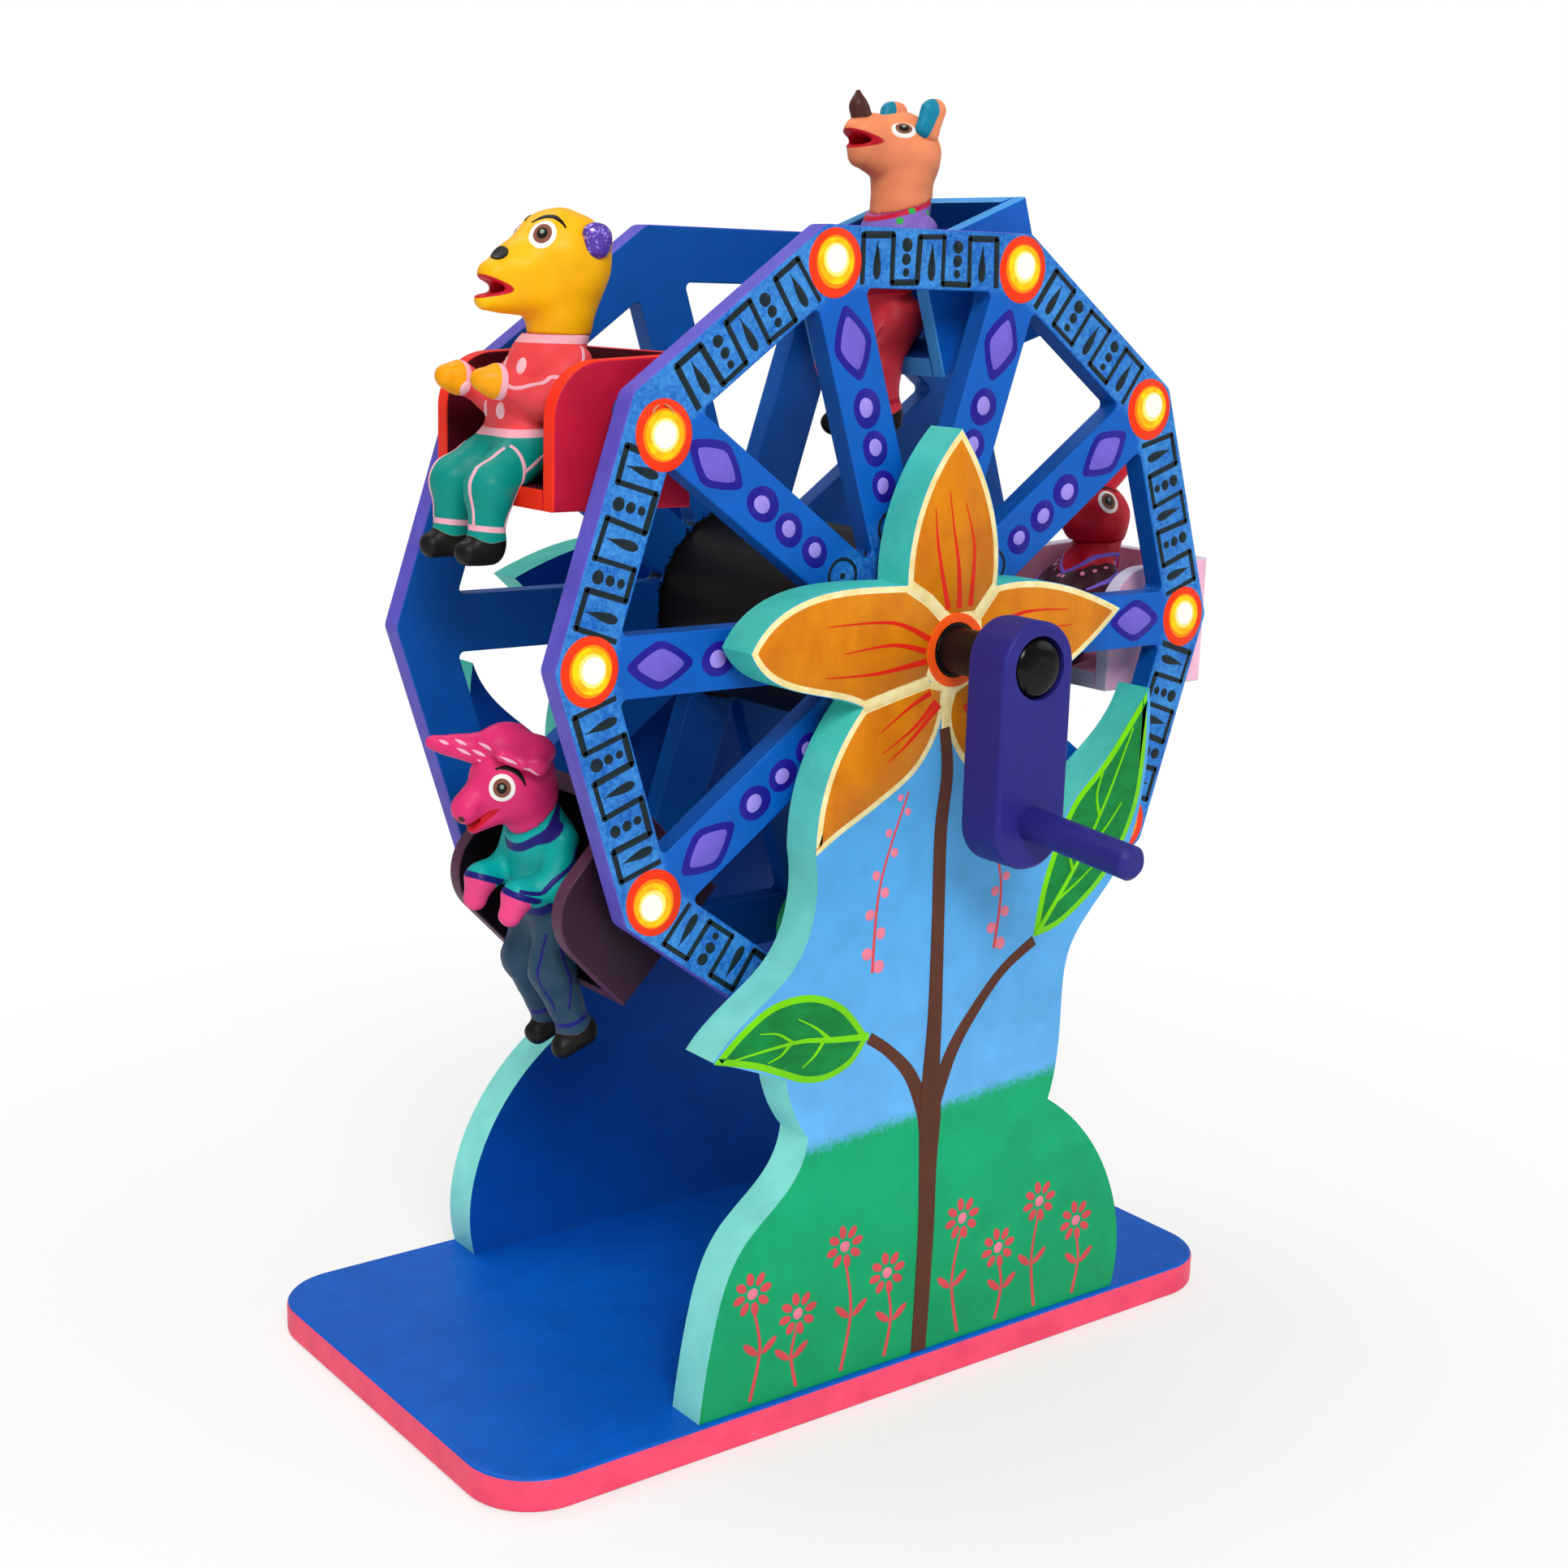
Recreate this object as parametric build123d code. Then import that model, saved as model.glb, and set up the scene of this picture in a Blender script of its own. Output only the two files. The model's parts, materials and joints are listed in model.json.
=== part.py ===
"""Hand-cranked ferris wheel toy, sawn, turned and carved in wood.

Millimetres. +Z up, X along the base board, Y along the axle, and the front (the crank) is at -Y.
The origin is the centre of the base board's underside.
"""
import os
from math import cos, radians, sin, tan

from build123d import *

os.makedirs("parts", exist_ok=True)

# ---------------------------------------------------------------- driving sizes
# base board
base_length = 265.5
base_width = 145.6
base_thickness = 10.0
base_corner_radius = 20.0
base_edge_round = 1.6

# the two stand panels, sawn to a flower with two leaves over a mound
panel_thickness = 12.8
panel_margin = 1.9            # panel's outer face, in from the base's long edge
axle_offset = 8.7             # axle, to the right of the base's middle
axle_height = 217.4           # axle, above the floor
foot_left = 80.0              # panel's foot, left and right of the axle
foot_right = 77.0

# axle, hub and crank
axle_radius = 6.35
drum_radius = 28.5
wheel_front_gap = 3.6         # front wheel board to the front panel
washer_radius = 12.0
spacer_radius = 11.0
collar_radius = 13.0
collar_thickness = 8.0
crank_gap = 18.6              # crank arm to the front panel
crank_thickness = 15.0
crank_width = 24.5
crank_throw = 41.2            # axle to the peg
crank_tail = 13.2             # arm beyond the peg
crank_edge_round = 1.5
button_radius = 8.5
button_depth = 4.0
button_dome = 0.8
peg_radius = 4.6
peg_reach = 38.0              # peg, in front of the arm
peg_droop = 4.0               # degrees
peg_tip_bevel = 1.2

# the wheel: two ten-sided boards
wheel_sides = 10
rim_apothem = 111.5           # axle to the middle of an outer side
rim_width = 16.0
spoke_width = 16.5
board_thickness = 7.3
wheel_span = 76.8             # between the two boards
wheel_corner_round = 4.0
window_corner_round = 1.6
wheel_edge_round = 0.6
pivot_inset = 10.24           # each cart's pivot, in from the wheel's corner

# cart pivots: shouldered pegs glued in the wheel boards
pivot_radius = 3.2
shoulder_radius = 5.0

# carts, measured from the pivot
cart_width = 60.4
cart_length = 42.0
cart_front = 22.0             # pivot to the cart's open front
cart_depth = 24.7             # pivot down to the cart's bottom
side_front_height = 37.0      # side board, at its rounded front corner
side_back_height = 39.6       # side board, at the back
cart_board = 5.3
cart_corner_round = 15.0
cart_edge_round = 0.7
pink_set_back = 6.5           # how far back the pink cart's boards hang on their pivot

# riders, carved figures sitting on the seat boards
hip_reach = 11.0              # behind the seat's front edge
torso_lean = 5.0              # chest, behind the hip
head_length = 32.0            # carved head, nape to snout
head_set_back = 10.0          # skull, behind the hip
head_rise = 17.5              # skull's middle, above the neck's cut
torso_radius = 9.8
chest_radius = 9.4
shoulder_height = 29.0        # above the seat
neck_height = 38.0
neck_radius = 7.9
thigh_radius = 7.2
knee_radius = 6.3
knee_reach = 6.4              # knee, in front of the seat
knee_height = 0.8             # knee, above the seat
shin_length = 12.0            # knee to ankle
ankle_radius = 4.9
leg_spread = 9.0
boot_radius = 4.2
boot_length = 6.0
boot_drop = 4.6               # ankle down to the boot's middle
arm_radius = 4.7
hand_radius = 3.9
hand_height = 27.5
hand_reach = 11.6             # hand, in front of the seat
arm_spread = 12.0
hand_spread = 9.5

# screws up through the base into the panels
screw_radius = 2.0
screw_head_radius = 4.0
screw_head_height = 2.6
screw_length = 32.0
screw_spacing = 90.0

# clearances
running_clearance = 0.06      # radius, where a shaft turns in a bore
glue_clearance = 0.05         # radius, where a dowel is glued in a bore
end_clearance = 0.3           # face to face, where one piece turns past another

# ---------------------------------------------------------------- places
panel_face = base_width / 2 - panel_margin          # |y| of a panel's outer face
panel_back = panel_face - panel_thickness           # |y| of its inner face
front_board_face = -panel_back + wheel_front_gap    # y of the front board's front face
front_board_back = front_board_face + board_thickness
rear_board_face = front_board_back + wheel_span
rear_board_back = rear_board_face + board_thickness
crank_back = -panel_face - crank_gap
crank_face = crank_back - crank_thickness
button_seat = crank_face + button_depth
collar_face = panel_face + end_clearance
axle_end = collar_face + collar_thickness
cart_middle = (front_board_back + rear_board_face) / 2
cart_near = cart_middle - cart_width / 2
cart_far = cart_middle + cart_width / 2
window_apothem = rim_apothem - rim_width
wheel_corner = rim_apothem / cos(radians(180 / wheel_sides))   # axle to a corner
pivot_circle = wheel_corner - pivot_inset           # axle to each cart's pivot
seat_top = -cart_depth + cart_board
back_face = cart_length - cart_board                # from the seat's front edge
axle_rise = axle_height - base_thickness            # axle, above the panels' feet
sector = 360 / wheel_sides

# name, pivot angle on the wheel, how far the cart has swung its front down (degrees), and how
# far back its boards hang on their pivot
CARTS = [
    ("red", 4 * sector, 0.0, 0.0),
    ("blue", 2 * sector, 18.0, 0.0),
    ("maroon", 6 * sector, 44.0, 0.0),
    ("pink", 0.0, 0.0, pink_set_back),
    ("green", 8 * sector, 6.0, 0.0),
]


# ---------------------------------------------------------------- helpers
def save(shape, node):
    """Write one piece as its own STEP file."""
    shape.label = node
    export_step(shape, f"parts/{node}.step")


def facing(y):
    """The plane across the axle at y, looking at the front: local x is +X, local y is +Z."""
    return Plane(origin=(axle_offset, y, axle_height), x_dir=(1, 0, 0), z_dir=(0, -1, 0))


def board(face, y_front, thickness):
    """A board sawn to a face drawn about the axle, with its front at y_front."""
    return extrude(facing(y_front) * face, -thickness)


def rod(radius, y_from, y_to, x=0.0, z=0.0):
    """A round rod along Y; x and z are measured from the axle."""
    circle = Pos(x, z) * Circle(radius)
    return extrude(facing(y_from) * circle, y_from - y_to)


def face_edges(solid, y):
    """The edges of a solid that lie on the plane at y."""
    return [edge for edge in solid.edges()
            if abs(edge.bounding_box().min.Y - y) < 1e-4 and abs(edge.bounding_box().max.Y - y) < 1e-4]


def ease(solid, y_planes, radius):
    """Sand the edges of both faces of a board to a small radius."""
    for y in y_planes:
        solid = fillet(face_edges(solid, y), radius)
    return solid


def limb(start, start_radius, end, end_radius):
    """A rounded limb that tapers between two points."""
    axis = Vector(*end) - Vector(*start)
    length = axis.length
    lean = (start_radius - end_radius) / length          # sine of the taper
    across = (1 - lean * lean) ** 0.5
    low = (start_radius * across, start_radius * lean)
    high = (end_radius * across, length + end_radius * lean)
    low_mid = (start_radius * cos(radians(45)), -start_radius * sin(radians(45)))
    high_mid = (end_radius * cos(radians(45)), length + end_radius * sin(radians(45)))
    profile = [
        ThreePointArc((0, -start_radius), low_mid, low),
        Line(low, high),
        ThreePointArc(high, high_mid, (0, length + end_radius)),
        Line((0, length + end_radius), (0, -start_radius)),
    ]
    turned = revolve(Plane.XZ * make_face(profile), Axis.Z)
    return Plane(origin=start, z_dir=axis) * turned


def joined(solids):
    """One carved solid from overlapping ones."""
    result = solids[0]
    for solid in solids[1:]:
        result = result + solid
    return result


def mirrored_pair(make):
    """A left and a right copy: make takes +1 or -1."""
    return [make(side) for side in (-1, 1)]


# ---------------------------------------------------------------- stand
def base_screw_places():
    """x and y of the four screws, two under each panel."""
    reach = panel_face - panel_thickness / 2
    return [(axle_offset + side * screw_spacing / 2, y) for side in (-1, 1) for y in (-reach, reach)]


def screw_solid(clearance=0.0):
    """One countersunk screw, head flush with the base's underside."""
    head = Cone(screw_head_radius + clearance, screw_radius + clearance, screw_head_height,
                align=(Align.CENTER, Align.CENTER, Align.MIN))
    shank = Cylinder(screw_radius + clearance, screw_length + clearance,
                     align=(Align.CENTER, Align.CENTER, Align.MIN))
    return head + shank


def drilled_for_screws(solid):
    """Cut the screws' countersinks and pilot holes."""
    for x, y in base_screw_places():
        solid = solid - Pos(x, y, 0) * screw_solid(glue_clearance)
    return solid


def base_board():
    plan = RectangleRounded(base_length, base_width, base_corner_radius)
    solid = extrude(plan, base_thickness)
    top = solid.edges().filter_by_position(Axis.Z, base_thickness, base_thickness)
    bottom = solid.edges().filter_by_position(Axis.Z, 0, 0)
    solid = fillet(top + bottom, base_edge_round)
    return drilled_for_screws(solid)


def panel_outline():
    """The sawn outline, from the left foot up, over the flower and down to the right foot.

    Points are (x, z) from the axle, in hundredths of its rise above the feet. In the mound x is
    a share of the foot's reach and z is up from the feet.
    """
    def sawn(*points):
        return [(x * axle_rise / 100, z * axle_rise / 100) for x, z in points]

    def mound(foot, *points):
        return [(x * foot, (z / 100 - 1) * axle_rise) for x, z in points]

    runs = [
        # left side of the mound, then the waist
        mound(-foot_left, (1, 0), (0.944, 13), (0.832, 23.4), (0.629, 30.6)) + sawn((-21.9, -63.6)),
        sawn((-21.9, -63.6), (-24.3, -59.8), (-25.9, -54.7)),
        # left leaf, under and over
        sawn((-25.9, -54.7), (-31.8, -52.3), (-37.6, -50.1)),
        sawn((-37.6, -50.1), (-31.3, -44.6), (-24.4, -38.8), (-21.9, -31.8), (-22.2, -25.3)),
        # lower left, left, top and right petals
        sawn((-22.2, -25.3), (-21.1, -16.6), (-15.2, -6.4)),
        sawn((-15.2, -6.4), (-24.1, -3.9), (-31, -1), (-33.3, 1.9)),
        sawn((-33.3, 1.9), (-29.9, 5.8), (-22.2, 8.7), (-8.6, 9)),
        sawn((-8.6, 9), (-8, 15.4), (-5.1, 22.9), (-0.5, 28.8)),
        sawn((-0.5, 28.8), (3.9, 22.2), (6.5, 14.9), (6.8, 8.1)),
        sawn((6.8, 8.1), (15.4, 8.2), (24.1, 6.1), (30.3, 3.6)),
        sawn((30.3, 3.6), (24.1, -1.5), (15.9, -6.2)),
        # lower right petal
        sawn((15.9, -6.2), (20.5, -15.4), (21.2, -25.9)),
        # right leaf, up and down again
        sawn((21.2, -25.9), (26.3, -20.2), (33.2, -14.5), (37.2, -8.3)),
        sawn((37.2, -8.3), (37.6, -19.3), (33.3, -33.8), (24.3, -44.8), (23.3, -54.5), (21.7, -67)),
        # right side of the mound
        sawn((21.7, -67)) + mound(foot_right, (0.814, 25.6), (0.969, 15.9), (1.022, 5.8), (1, 0)),
    ]
    edges = [Spline(*points) for points in runs]
    foot = Line(runs[-1][-1], runs[0][0])
    return make_face(edges + [foot])


def front_panel():
    solid = board(panel_outline(), -panel_face, panel_thickness)
    solid = solid - rod(axle_radius + running_clearance, -panel_face - 1, -panel_back + 1)
    return drilled_for_screws(solid)


def rear_panel():
    """The same board turned half round about the upright, so that it faces the back."""
    turned = Pos(axle_offset, 0, 0) * Rot(0, 0, 180) * Pos(-axle_offset, 0, 0)
    solid = turned * board(panel_outline(), -panel_face, panel_thickness)
    solid = solid - rod(axle_radius + running_clearance, panel_back - 1, panel_face + 1)
    return drilled_for_screws(solid)


# ---------------------------------------------------------------- axle, hub and crank
def sleeve(radius, y_from, y_to):
    """A turned piece glued on the axle."""
    return rod(radius, y_from, y_to) - rod(axle_radius + glue_clearance, y_from - 1, y_to + 1)


def crank_arm():
    """A thick arm with round ends, hanging straight down from the axle."""
    half = crank_width / 2
    top = crank_width / 2
    bottom = -(crank_throw + crank_tail)
    outline = Pos(0, (top + bottom) / 2) * RectangleRounded(crank_width, top - bottom, half * 0.96)
    solid = board(outline, crank_face, crank_thickness)
    solid = ease(solid, (crank_face, crank_back), crank_edge_round)
    solid = solid - rod(axle_radius + glue_clearance, crank_face - 1, crank_back + 1)
    solid = solid - rod(button_radius + glue_clearance, crank_face - 1, button_seat)
    return solid - peg_solid(glue_clearance)


def axle_button():
    """A domed button plug over the axle's end."""
    solid = rod(button_radius, crank_face - button_dome, button_seat)
    return fillet(face_edges(solid, crank_face - button_dome), button_dome)


def peg_solid(clearance=0.0):
    """The handle peg, glued half way into the arm and drooping a little."""
    seat = crank_thickness / 2
    length = seat + peg_reach
    solid = Cylinder(peg_radius + clearance, length, align=(Align.CENTER, Align.CENTER, Align.MIN))
    if not clearance:
        solid = chamfer(solid.edges().filter_by_position(Axis.Z, length, length), peg_tip_bevel)
    root = Vector(axle_offset, crank_face + seat, axle_height - crank_throw)
    droop = radians(peg_droop)
    return Plane(origin=root, z_dir=(0, -cos(droop), -sin(droop))) * solid


# ---------------------------------------------------------------- wheel
def window():
    """One opening between two spokes, pointing along local +X."""
    half_sector = radians(sector / 2)
    tip = spoke_width / 2 / sin(half_sector)
    half_width = window_apothem * tan(half_sector) - spoke_width / 2 / cos(half_sector)
    triangle = make_face(Polyline((tip, 0), (window_apothem, half_width),
                                  (window_apothem, -half_width), close=True))
    return fillet(triangle.vertices(), window_corner_round)


def wheel_face():
    outline = RegularPolygon(wheel_corner, wheel_sides)
    outline = fillet(outline.vertices(), wheel_corner_round)
    for k in range(wheel_sides):
        outline = outline - Rot(0, 0, sector * (k + 0.5)) * window()
    return outline


def wheel_board(y_front):
    solid = board(wheel_face(), y_front, board_thickness)
    solid = ease(solid, (y_front, y_front + board_thickness), wheel_edge_round)
    solid = solid - rod(axle_radius + glue_clearance, y_front - 1, y_front + board_thickness + 1)
    for _, angle, _, _ in CARTS:
        x, z = pivot_place(angle)
        solid = solid - rod(pivot_radius + glue_clearance, y_front - 1,
                            y_front + board_thickness + 1, x, z)
    return solid


def pivot_place(angle):
    """x and z of a cart's pivot, from the axle."""
    return pivot_circle * cos(radians(angle)), pivot_circle * sin(radians(angle))


def pivot_pegs(angle):
    """Two shouldered pegs, glued in the wheel boards; the cart turns on their ends."""
    x, z = pivot_place(angle)
    near_peg = rod(pivot_radius, front_board_face, cart_near + cart_board, x, z)
    near_shoulder = rod(shoulder_radius, front_board_back, cart_near - end_clearance, x, z)
    far_peg = rod(pivot_radius, cart_far - cart_board, rear_board_back, x, z)
    far_shoulder = rod(shoulder_radius, cart_far + end_clearance, rear_board_face, x, z)
    return Compound(children=[near_peg + near_shoulder, far_peg + far_shoulder])


# ---------------------------------------------------------------- carts
def cart_place(angle, swing):
    """From a cart's own frame, its pivot on the Y axis, to its place on the wheel."""
    x, z = pivot_place(angle)
    return Pos(axle_offset + x, 0, axle_height + z) * Rot(0, -swing, 0)


def cart_side(y_front, set_back):
    """A side board with a large rounded front corner."""
    front = set_back - cart_front
    back = front + cart_length
    bottom = -cart_depth
    front_top = bottom + side_front_height
    back_top = bottom + side_back_height
    outline = make_face(Polyline((front, bottom), (back, bottom), (back, back_top),
                                 (front, front_top), close=True))
    tall_front = outline.vertices().sort_by(Axis.X)[:2].sort_by(Axis.Y)[-1]
    outline = fillet(tall_front, cart_corner_round)
    plane = Plane(origin=(0, y_front, 0), x_dir=(1, 0, 0), z_dir=(0, -1, 0))
    solid = extrude(plane * outline, -cart_board)
    solid = ease(solid, (y_front, y_front + cart_board), cart_edge_round)
    bore = extrude(plane * Circle(pivot_radius + running_clearance), -cart_board)
    return solid - bore


def cart_cross_board(front, length, height):
    """A board between the two sides, standing on the cart's bottom, in the cart's own frame."""
    width = cart_width - 2 * cart_board
    solid = Box(length, width, height, align=(Align.MIN, Align.CENTER, Align.MIN))
    return Pos(front, cart_middle, -cart_depth) * solid


def cart_seat(set_back):
    return cart_cross_board(set_back - cart_front, back_face, cart_board)


def cart_back(set_back):
    return cart_cross_board(set_back - cart_front + back_face, cart_board, side_back_height)


# ---------------------------------------------------------------- riders
# Riders are carved in a frame of their own: x backwards from the seat's front edge, y from the
# cart's middle, z up from the seat.
def rider_place(angle, swing, set_back):
    return cart_place(angle, swing) * Pos(set_back - cart_front, cart_middle, seat_top)


def rider_body():
    """Torso, arms, legs and boots in one piece, cut flat where it sits and at the neck."""
    hip = (hip_reach, 0, torso_radius * 0.91)
    pieces = [limb(hip, torso_radius, chest_centre(), chest_radius),
              limb(chest_centre(), neck_radius * 1.14, head_centre(), neck_radius)]
    for side in (-1, 1):
        thigh = (hip_reach * 0.8, side * leg_spread * 0.72, thigh_radius)
        knee = (-knee_reach, side * leg_spread, knee_height)
        ankle = (-knee_reach, side * leg_spread, knee_height - shin_length)
        heel = (-knee_reach, side * leg_spread, ankle[2] - boot_drop)
        toe = (-knee_reach - boot_length, side * leg_spread, heel[2] - boot_radius * 0.12)
        shoulder = (chest_centre()[0], side * chest_radius, shoulder_height * 0.966)
        elbow = (hip_reach / 2, side * arm_spread, shoulder_height * 0.76)
        hand = (-hand_reach + hand_radius, side * hand_spread, hand_height)
        pieces += [
            limb(thigh, thigh_radius, knee, knee_radius),
            limb(knee, knee_radius, ankle, ankle_radius),
            limb(heel, boot_radius, toe, boot_radius * 0.9),
            limb(shoulder, arm_radius, elbow, arm_radius * 0.88),
            limb(elbow, arm_radius * 0.88, hand, hand_radius),
        ]
    solid = joined(pieces)
    far = 2 * cart_length
    seat_block = Pos(-end_clearance, 0, 0) * Box(
        far, 2 * far, far, align=(Align.MIN, Align.CENTER, Align.MAX))
    above_neck = Pos(0, 0, neck_height) * Box(
        far, far, far, align=(Align.CENTER, Align.CENTER, Align.MIN))
    return solid - seat_block - above_neck


def carved(start, start_radius, end, end_radius):
    """A limb about a head's middle, in hundredths of the head's length."""
    share = head_length / 100
    return limb([share * v for v in start], share * start_radius,
                [share * v for v in end], share * end_radius)


def rider_head(skull, nod):
    """A head on its neck: skull pieces about the head's centre, nodding back by nod degrees."""
    neck = limb(chest_centre(), neck_radius * 1.14, head_centre(), neck_radius)
    below_neck = Pos(0, 0, neck_height) * Box(
        base_width, base_width, base_width, align=(Align.CENTER, Align.CENTER, Align.MAX))
    posed = [Pos(*head_centre()) * Rot(0, nod, 0) * piece for piece in skull]
    return joined([neck] + posed) - below_neck


def chest_centre():
    """Middle of a rider's chest, between the shoulders."""
    return hip_reach + torso_lean, 0, shoulder_height


def head_centre():
    """Middle of a rider's skull."""
    return hip_reach + head_set_back, 0, neck_height + head_rise


def on_head(pieces, nod, head):
    """Pieces glued on a head: posed like it and carved to fit it."""
    posed = [Pos(*head_centre()) * Rot(0, nod, 0) * piece - head for piece in pieces]
    return Compound(children=posed)


def bear():
    skull = [carved((6.2, 0, 3.1), 43.8, (-9.4, 0, 6.2), 41.2),
             carved((-25, 0, -15.6), 26.9, (-56.2, 0, -20.3), 18.8)]
    ears = mirrored_pair(
        lambda side: carved((25, side * 37.5, 18.8), 13.1, (31.2, side * 43.8, 25), 13.8))
    return skull, ears


def rhino():
    skull = [carved((25, 0, 3.1), 34.4, (-12.5, 0, 0), 30),
             carved((-12.5, 0, 0), 30, (-59.4, 0, -3.1), 21.2)]
    ears = mirrored_pair(
        lambda side: carved((28.1, side * 23.4, 28.1), 10.6, (37.5, side * 29.7, 56.2), 7.5))
    return skull, ears


def rhino_horn():
    return [carved((-56.2, 0, 12.5), 12.5, (-59.4, 0, 37.5), 6.9),
            carved((-59.4, 0, 37.5), 6.9, (-54.7, 0, 56.2), 2.5)]


def pig():
    skull = [carved((21.9, 0, 0), 39.1, (-12.5, 0, 0), 32.8),
             carved((-12.5, 0, -3.1), 32.2, (-62.5, 0, -15.6), 16.9)]
    ears = mirrored_pair(
        lambda side: carved((9.4, side * 15.6, 34.4), 12.5, (-50, side * 18.8, 53.1), 6.2))
    return skull, ears


def bird():
    skull = [carved((6.2, 0, 0), 34.4, (-6.2, 0, 3.1), 32.8),
             carved((-25, 0, 0), 17.2, (-62.5, 0, -9.4), 6.9)]
    crest = [carved((6.2, 0, 28.1), 9.4, (37.5, 0, 56.2), 5.6)]
    return skull, crest


def dog():
    skull = [carved((9.4, 0, 3.1), 37.5, (-9.4, 0, 3.1), 35),
             carved((-18.8, 0, -12.5), 23.4, (-59.4, 0, -15.6), 15.6)]
    ears = mirrored_pair(
        lambda side: carved((9.4, side * 34.4, 21.9), 11.2, (18.8, side * 42.2, -18.8), 14.4))
    return skull, ears


# cart, rider, shapes, what stands up on the head, nod in degrees
RIDERS = [
    ("red", "bear", bear, "ears", 0),
    ("blue", "rhino", rhino, "ears", 18),
    ("maroon", "pig", pig, "ears", 29),
    ("pink", "bird", bird, "crest", 0),
    ("green", "dog", dog, "ears", 6),
]


# ---------------------------------------------------------------- write the pieces
def write_stand():
    save(base_board(), "base_board")
    save(front_panel(), "front_panel")
    save(rear_panel(), "rear_panel")
    save(Compound(children=[Pos(x, y, 0) * screw_solid() for x, y in base_screw_places()]),
         "panel_screws")


def write_hub_and_crank():
    save(rod(axle_radius, button_seat, axle_end), "axle")
    save(sleeve(drum_radius, front_board_back, rear_board_face), "hub_drum")
    save(sleeve(washer_radius, -panel_back + end_clearance, front_board_face), "front_washer")
    save(sleeve(spacer_radius, rear_board_back, panel_back - end_clearance), "rear_spacer")
    save(sleeve(collar_radius, collar_face, axle_end), "rear_collar")
    save(crank_arm(), "crank_arm")
    save(peg_solid(), "crank_peg")
    save(axle_button(), "axle_button")


def write_wheel():
    save(wheel_board(front_board_face), "front_wheel")
    save(wheel_board(rear_board_face), "rear_wheel")
    for name, angle, _, _ in CARTS:
        save(pivot_pegs(angle), f"{name}_pivot_pegs")


def write_carts():
    for name, angle, swing, set_back in CARTS:
        boards = {
            "near_side": cart_side(cart_near, set_back),
            "far_side": cart_side(cart_far - cart_board, set_back),
            "seat": cart_seat(set_back),
            "back": cart_back(set_back),
        }
        for part, solid in boards.items():
            save(cart_place(angle, swing) * solid, f"{name}_cart_{part}")


def write_riders():
    body = rider_body()
    places = {name: rider_place(*numbers) for name, *numbers in CARTS}
    for cart, animal, shapes, trim_name, nod in RIDERS:
        place = places[cart]
        skull, trim = shapes()
        head = rider_head(skull, nod)
        save(place * body, f"{animal}_body")
        save(place * head, f"{animal}_head")
        save(place * on_head(trim, nod, head), f"{animal}_{trim_name}")
        if animal == "rhino":
            horn = joined(rhino_horn())
            save(place * on_head([horn], nod, head), "rhino_horn")


write_stand()
write_hub_and_crank()
write_wheel()
write_carts()
write_riders()
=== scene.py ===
"""Looks of a hand-cranked ferris wheel toy: painted acrylic on sawn and carved wood."""
import json
import math
import random

import bmesh
import bpy
import numpy as np
from mathutils import Matrix, Vector
from mathutils.bvhtree import BVHTree


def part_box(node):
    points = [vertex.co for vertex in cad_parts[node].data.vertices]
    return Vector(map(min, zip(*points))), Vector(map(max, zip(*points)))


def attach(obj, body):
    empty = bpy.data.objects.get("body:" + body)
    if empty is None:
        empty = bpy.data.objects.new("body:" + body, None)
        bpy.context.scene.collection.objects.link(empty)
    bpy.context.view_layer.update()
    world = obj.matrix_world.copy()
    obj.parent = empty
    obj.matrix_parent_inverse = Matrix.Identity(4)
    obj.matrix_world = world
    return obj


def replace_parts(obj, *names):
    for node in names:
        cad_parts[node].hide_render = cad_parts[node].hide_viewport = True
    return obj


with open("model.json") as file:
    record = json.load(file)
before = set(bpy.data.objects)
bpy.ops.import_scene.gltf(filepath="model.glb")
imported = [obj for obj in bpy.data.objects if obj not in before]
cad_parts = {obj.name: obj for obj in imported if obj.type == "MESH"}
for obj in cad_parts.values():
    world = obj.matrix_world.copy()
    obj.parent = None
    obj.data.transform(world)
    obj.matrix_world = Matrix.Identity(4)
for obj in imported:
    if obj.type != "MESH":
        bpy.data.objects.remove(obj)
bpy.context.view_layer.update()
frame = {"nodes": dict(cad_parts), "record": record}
NODES = frame["nodes"]
JOINTS = {joint["name"]: joint for joint in frame["record"]["behaviour"]["joints"]}
MM = 0.001
hand = random.Random(7)          # the painter's unsteady hand, the same each run

# ---------------------------------------------------------------- sizes, in millimetres
AXLE = Vector(JOINTS["wheel_spin"]["pos_m"]) / MM
PIVOT_CIRCLE = (Vector(JOINTS["pink_cart_swing"]["pos_m"]) / MM - AXLE).length
SECTOR = 36.0                    # degrees from spoke to spoke
# Painted films that overlap get different thicknesses, so that no two tops lie in one plane.
PAINT = 0.12                     # thickness of a painted line
SPONGE_FLECK = 1.6
CART_NAMES = ("red", "blue", "maroon", "pink", "green")
SPONGED_RIM = (97.0, 99.5)       # from the axle, where the rim's sponged paint begins and is full
SPONGED_HUB = (36.0, 30.0)       # the same for the sponged paint round the hub
SPILT_BLACK = (35.2, 34.6)       # the drum's black runs out over the board's inner face to here
OUTER_EDGE = 109.8               # past this a sawn edge is the rim's outer one
HORIZON = (-128.8, -125.2)       # heights from the axle where the meadow ends and the sky begins
HORIZON_SLOPE = 0.07
MEADOW_SHADE = (-150, -205)      # the meadow gets deeper between these heights
SKY_SHADE = (-60, -130)          # the sky gets paler between these
EDGE_SHADE = (-95, -20)          # the sawn edge turns from pale aqua to teal between these
BUTTON_RADIUS, BUTTON_CROWN = 7.9, 2.2
TURNED_SIDES = 64
SPOT_SIDES = 32


def cad_box(node):
    """Lowest and highest corner of a CAD node, in millimetres."""
    low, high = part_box(node)
    return Vector(low) / MM, Vector(high) / MM


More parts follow.
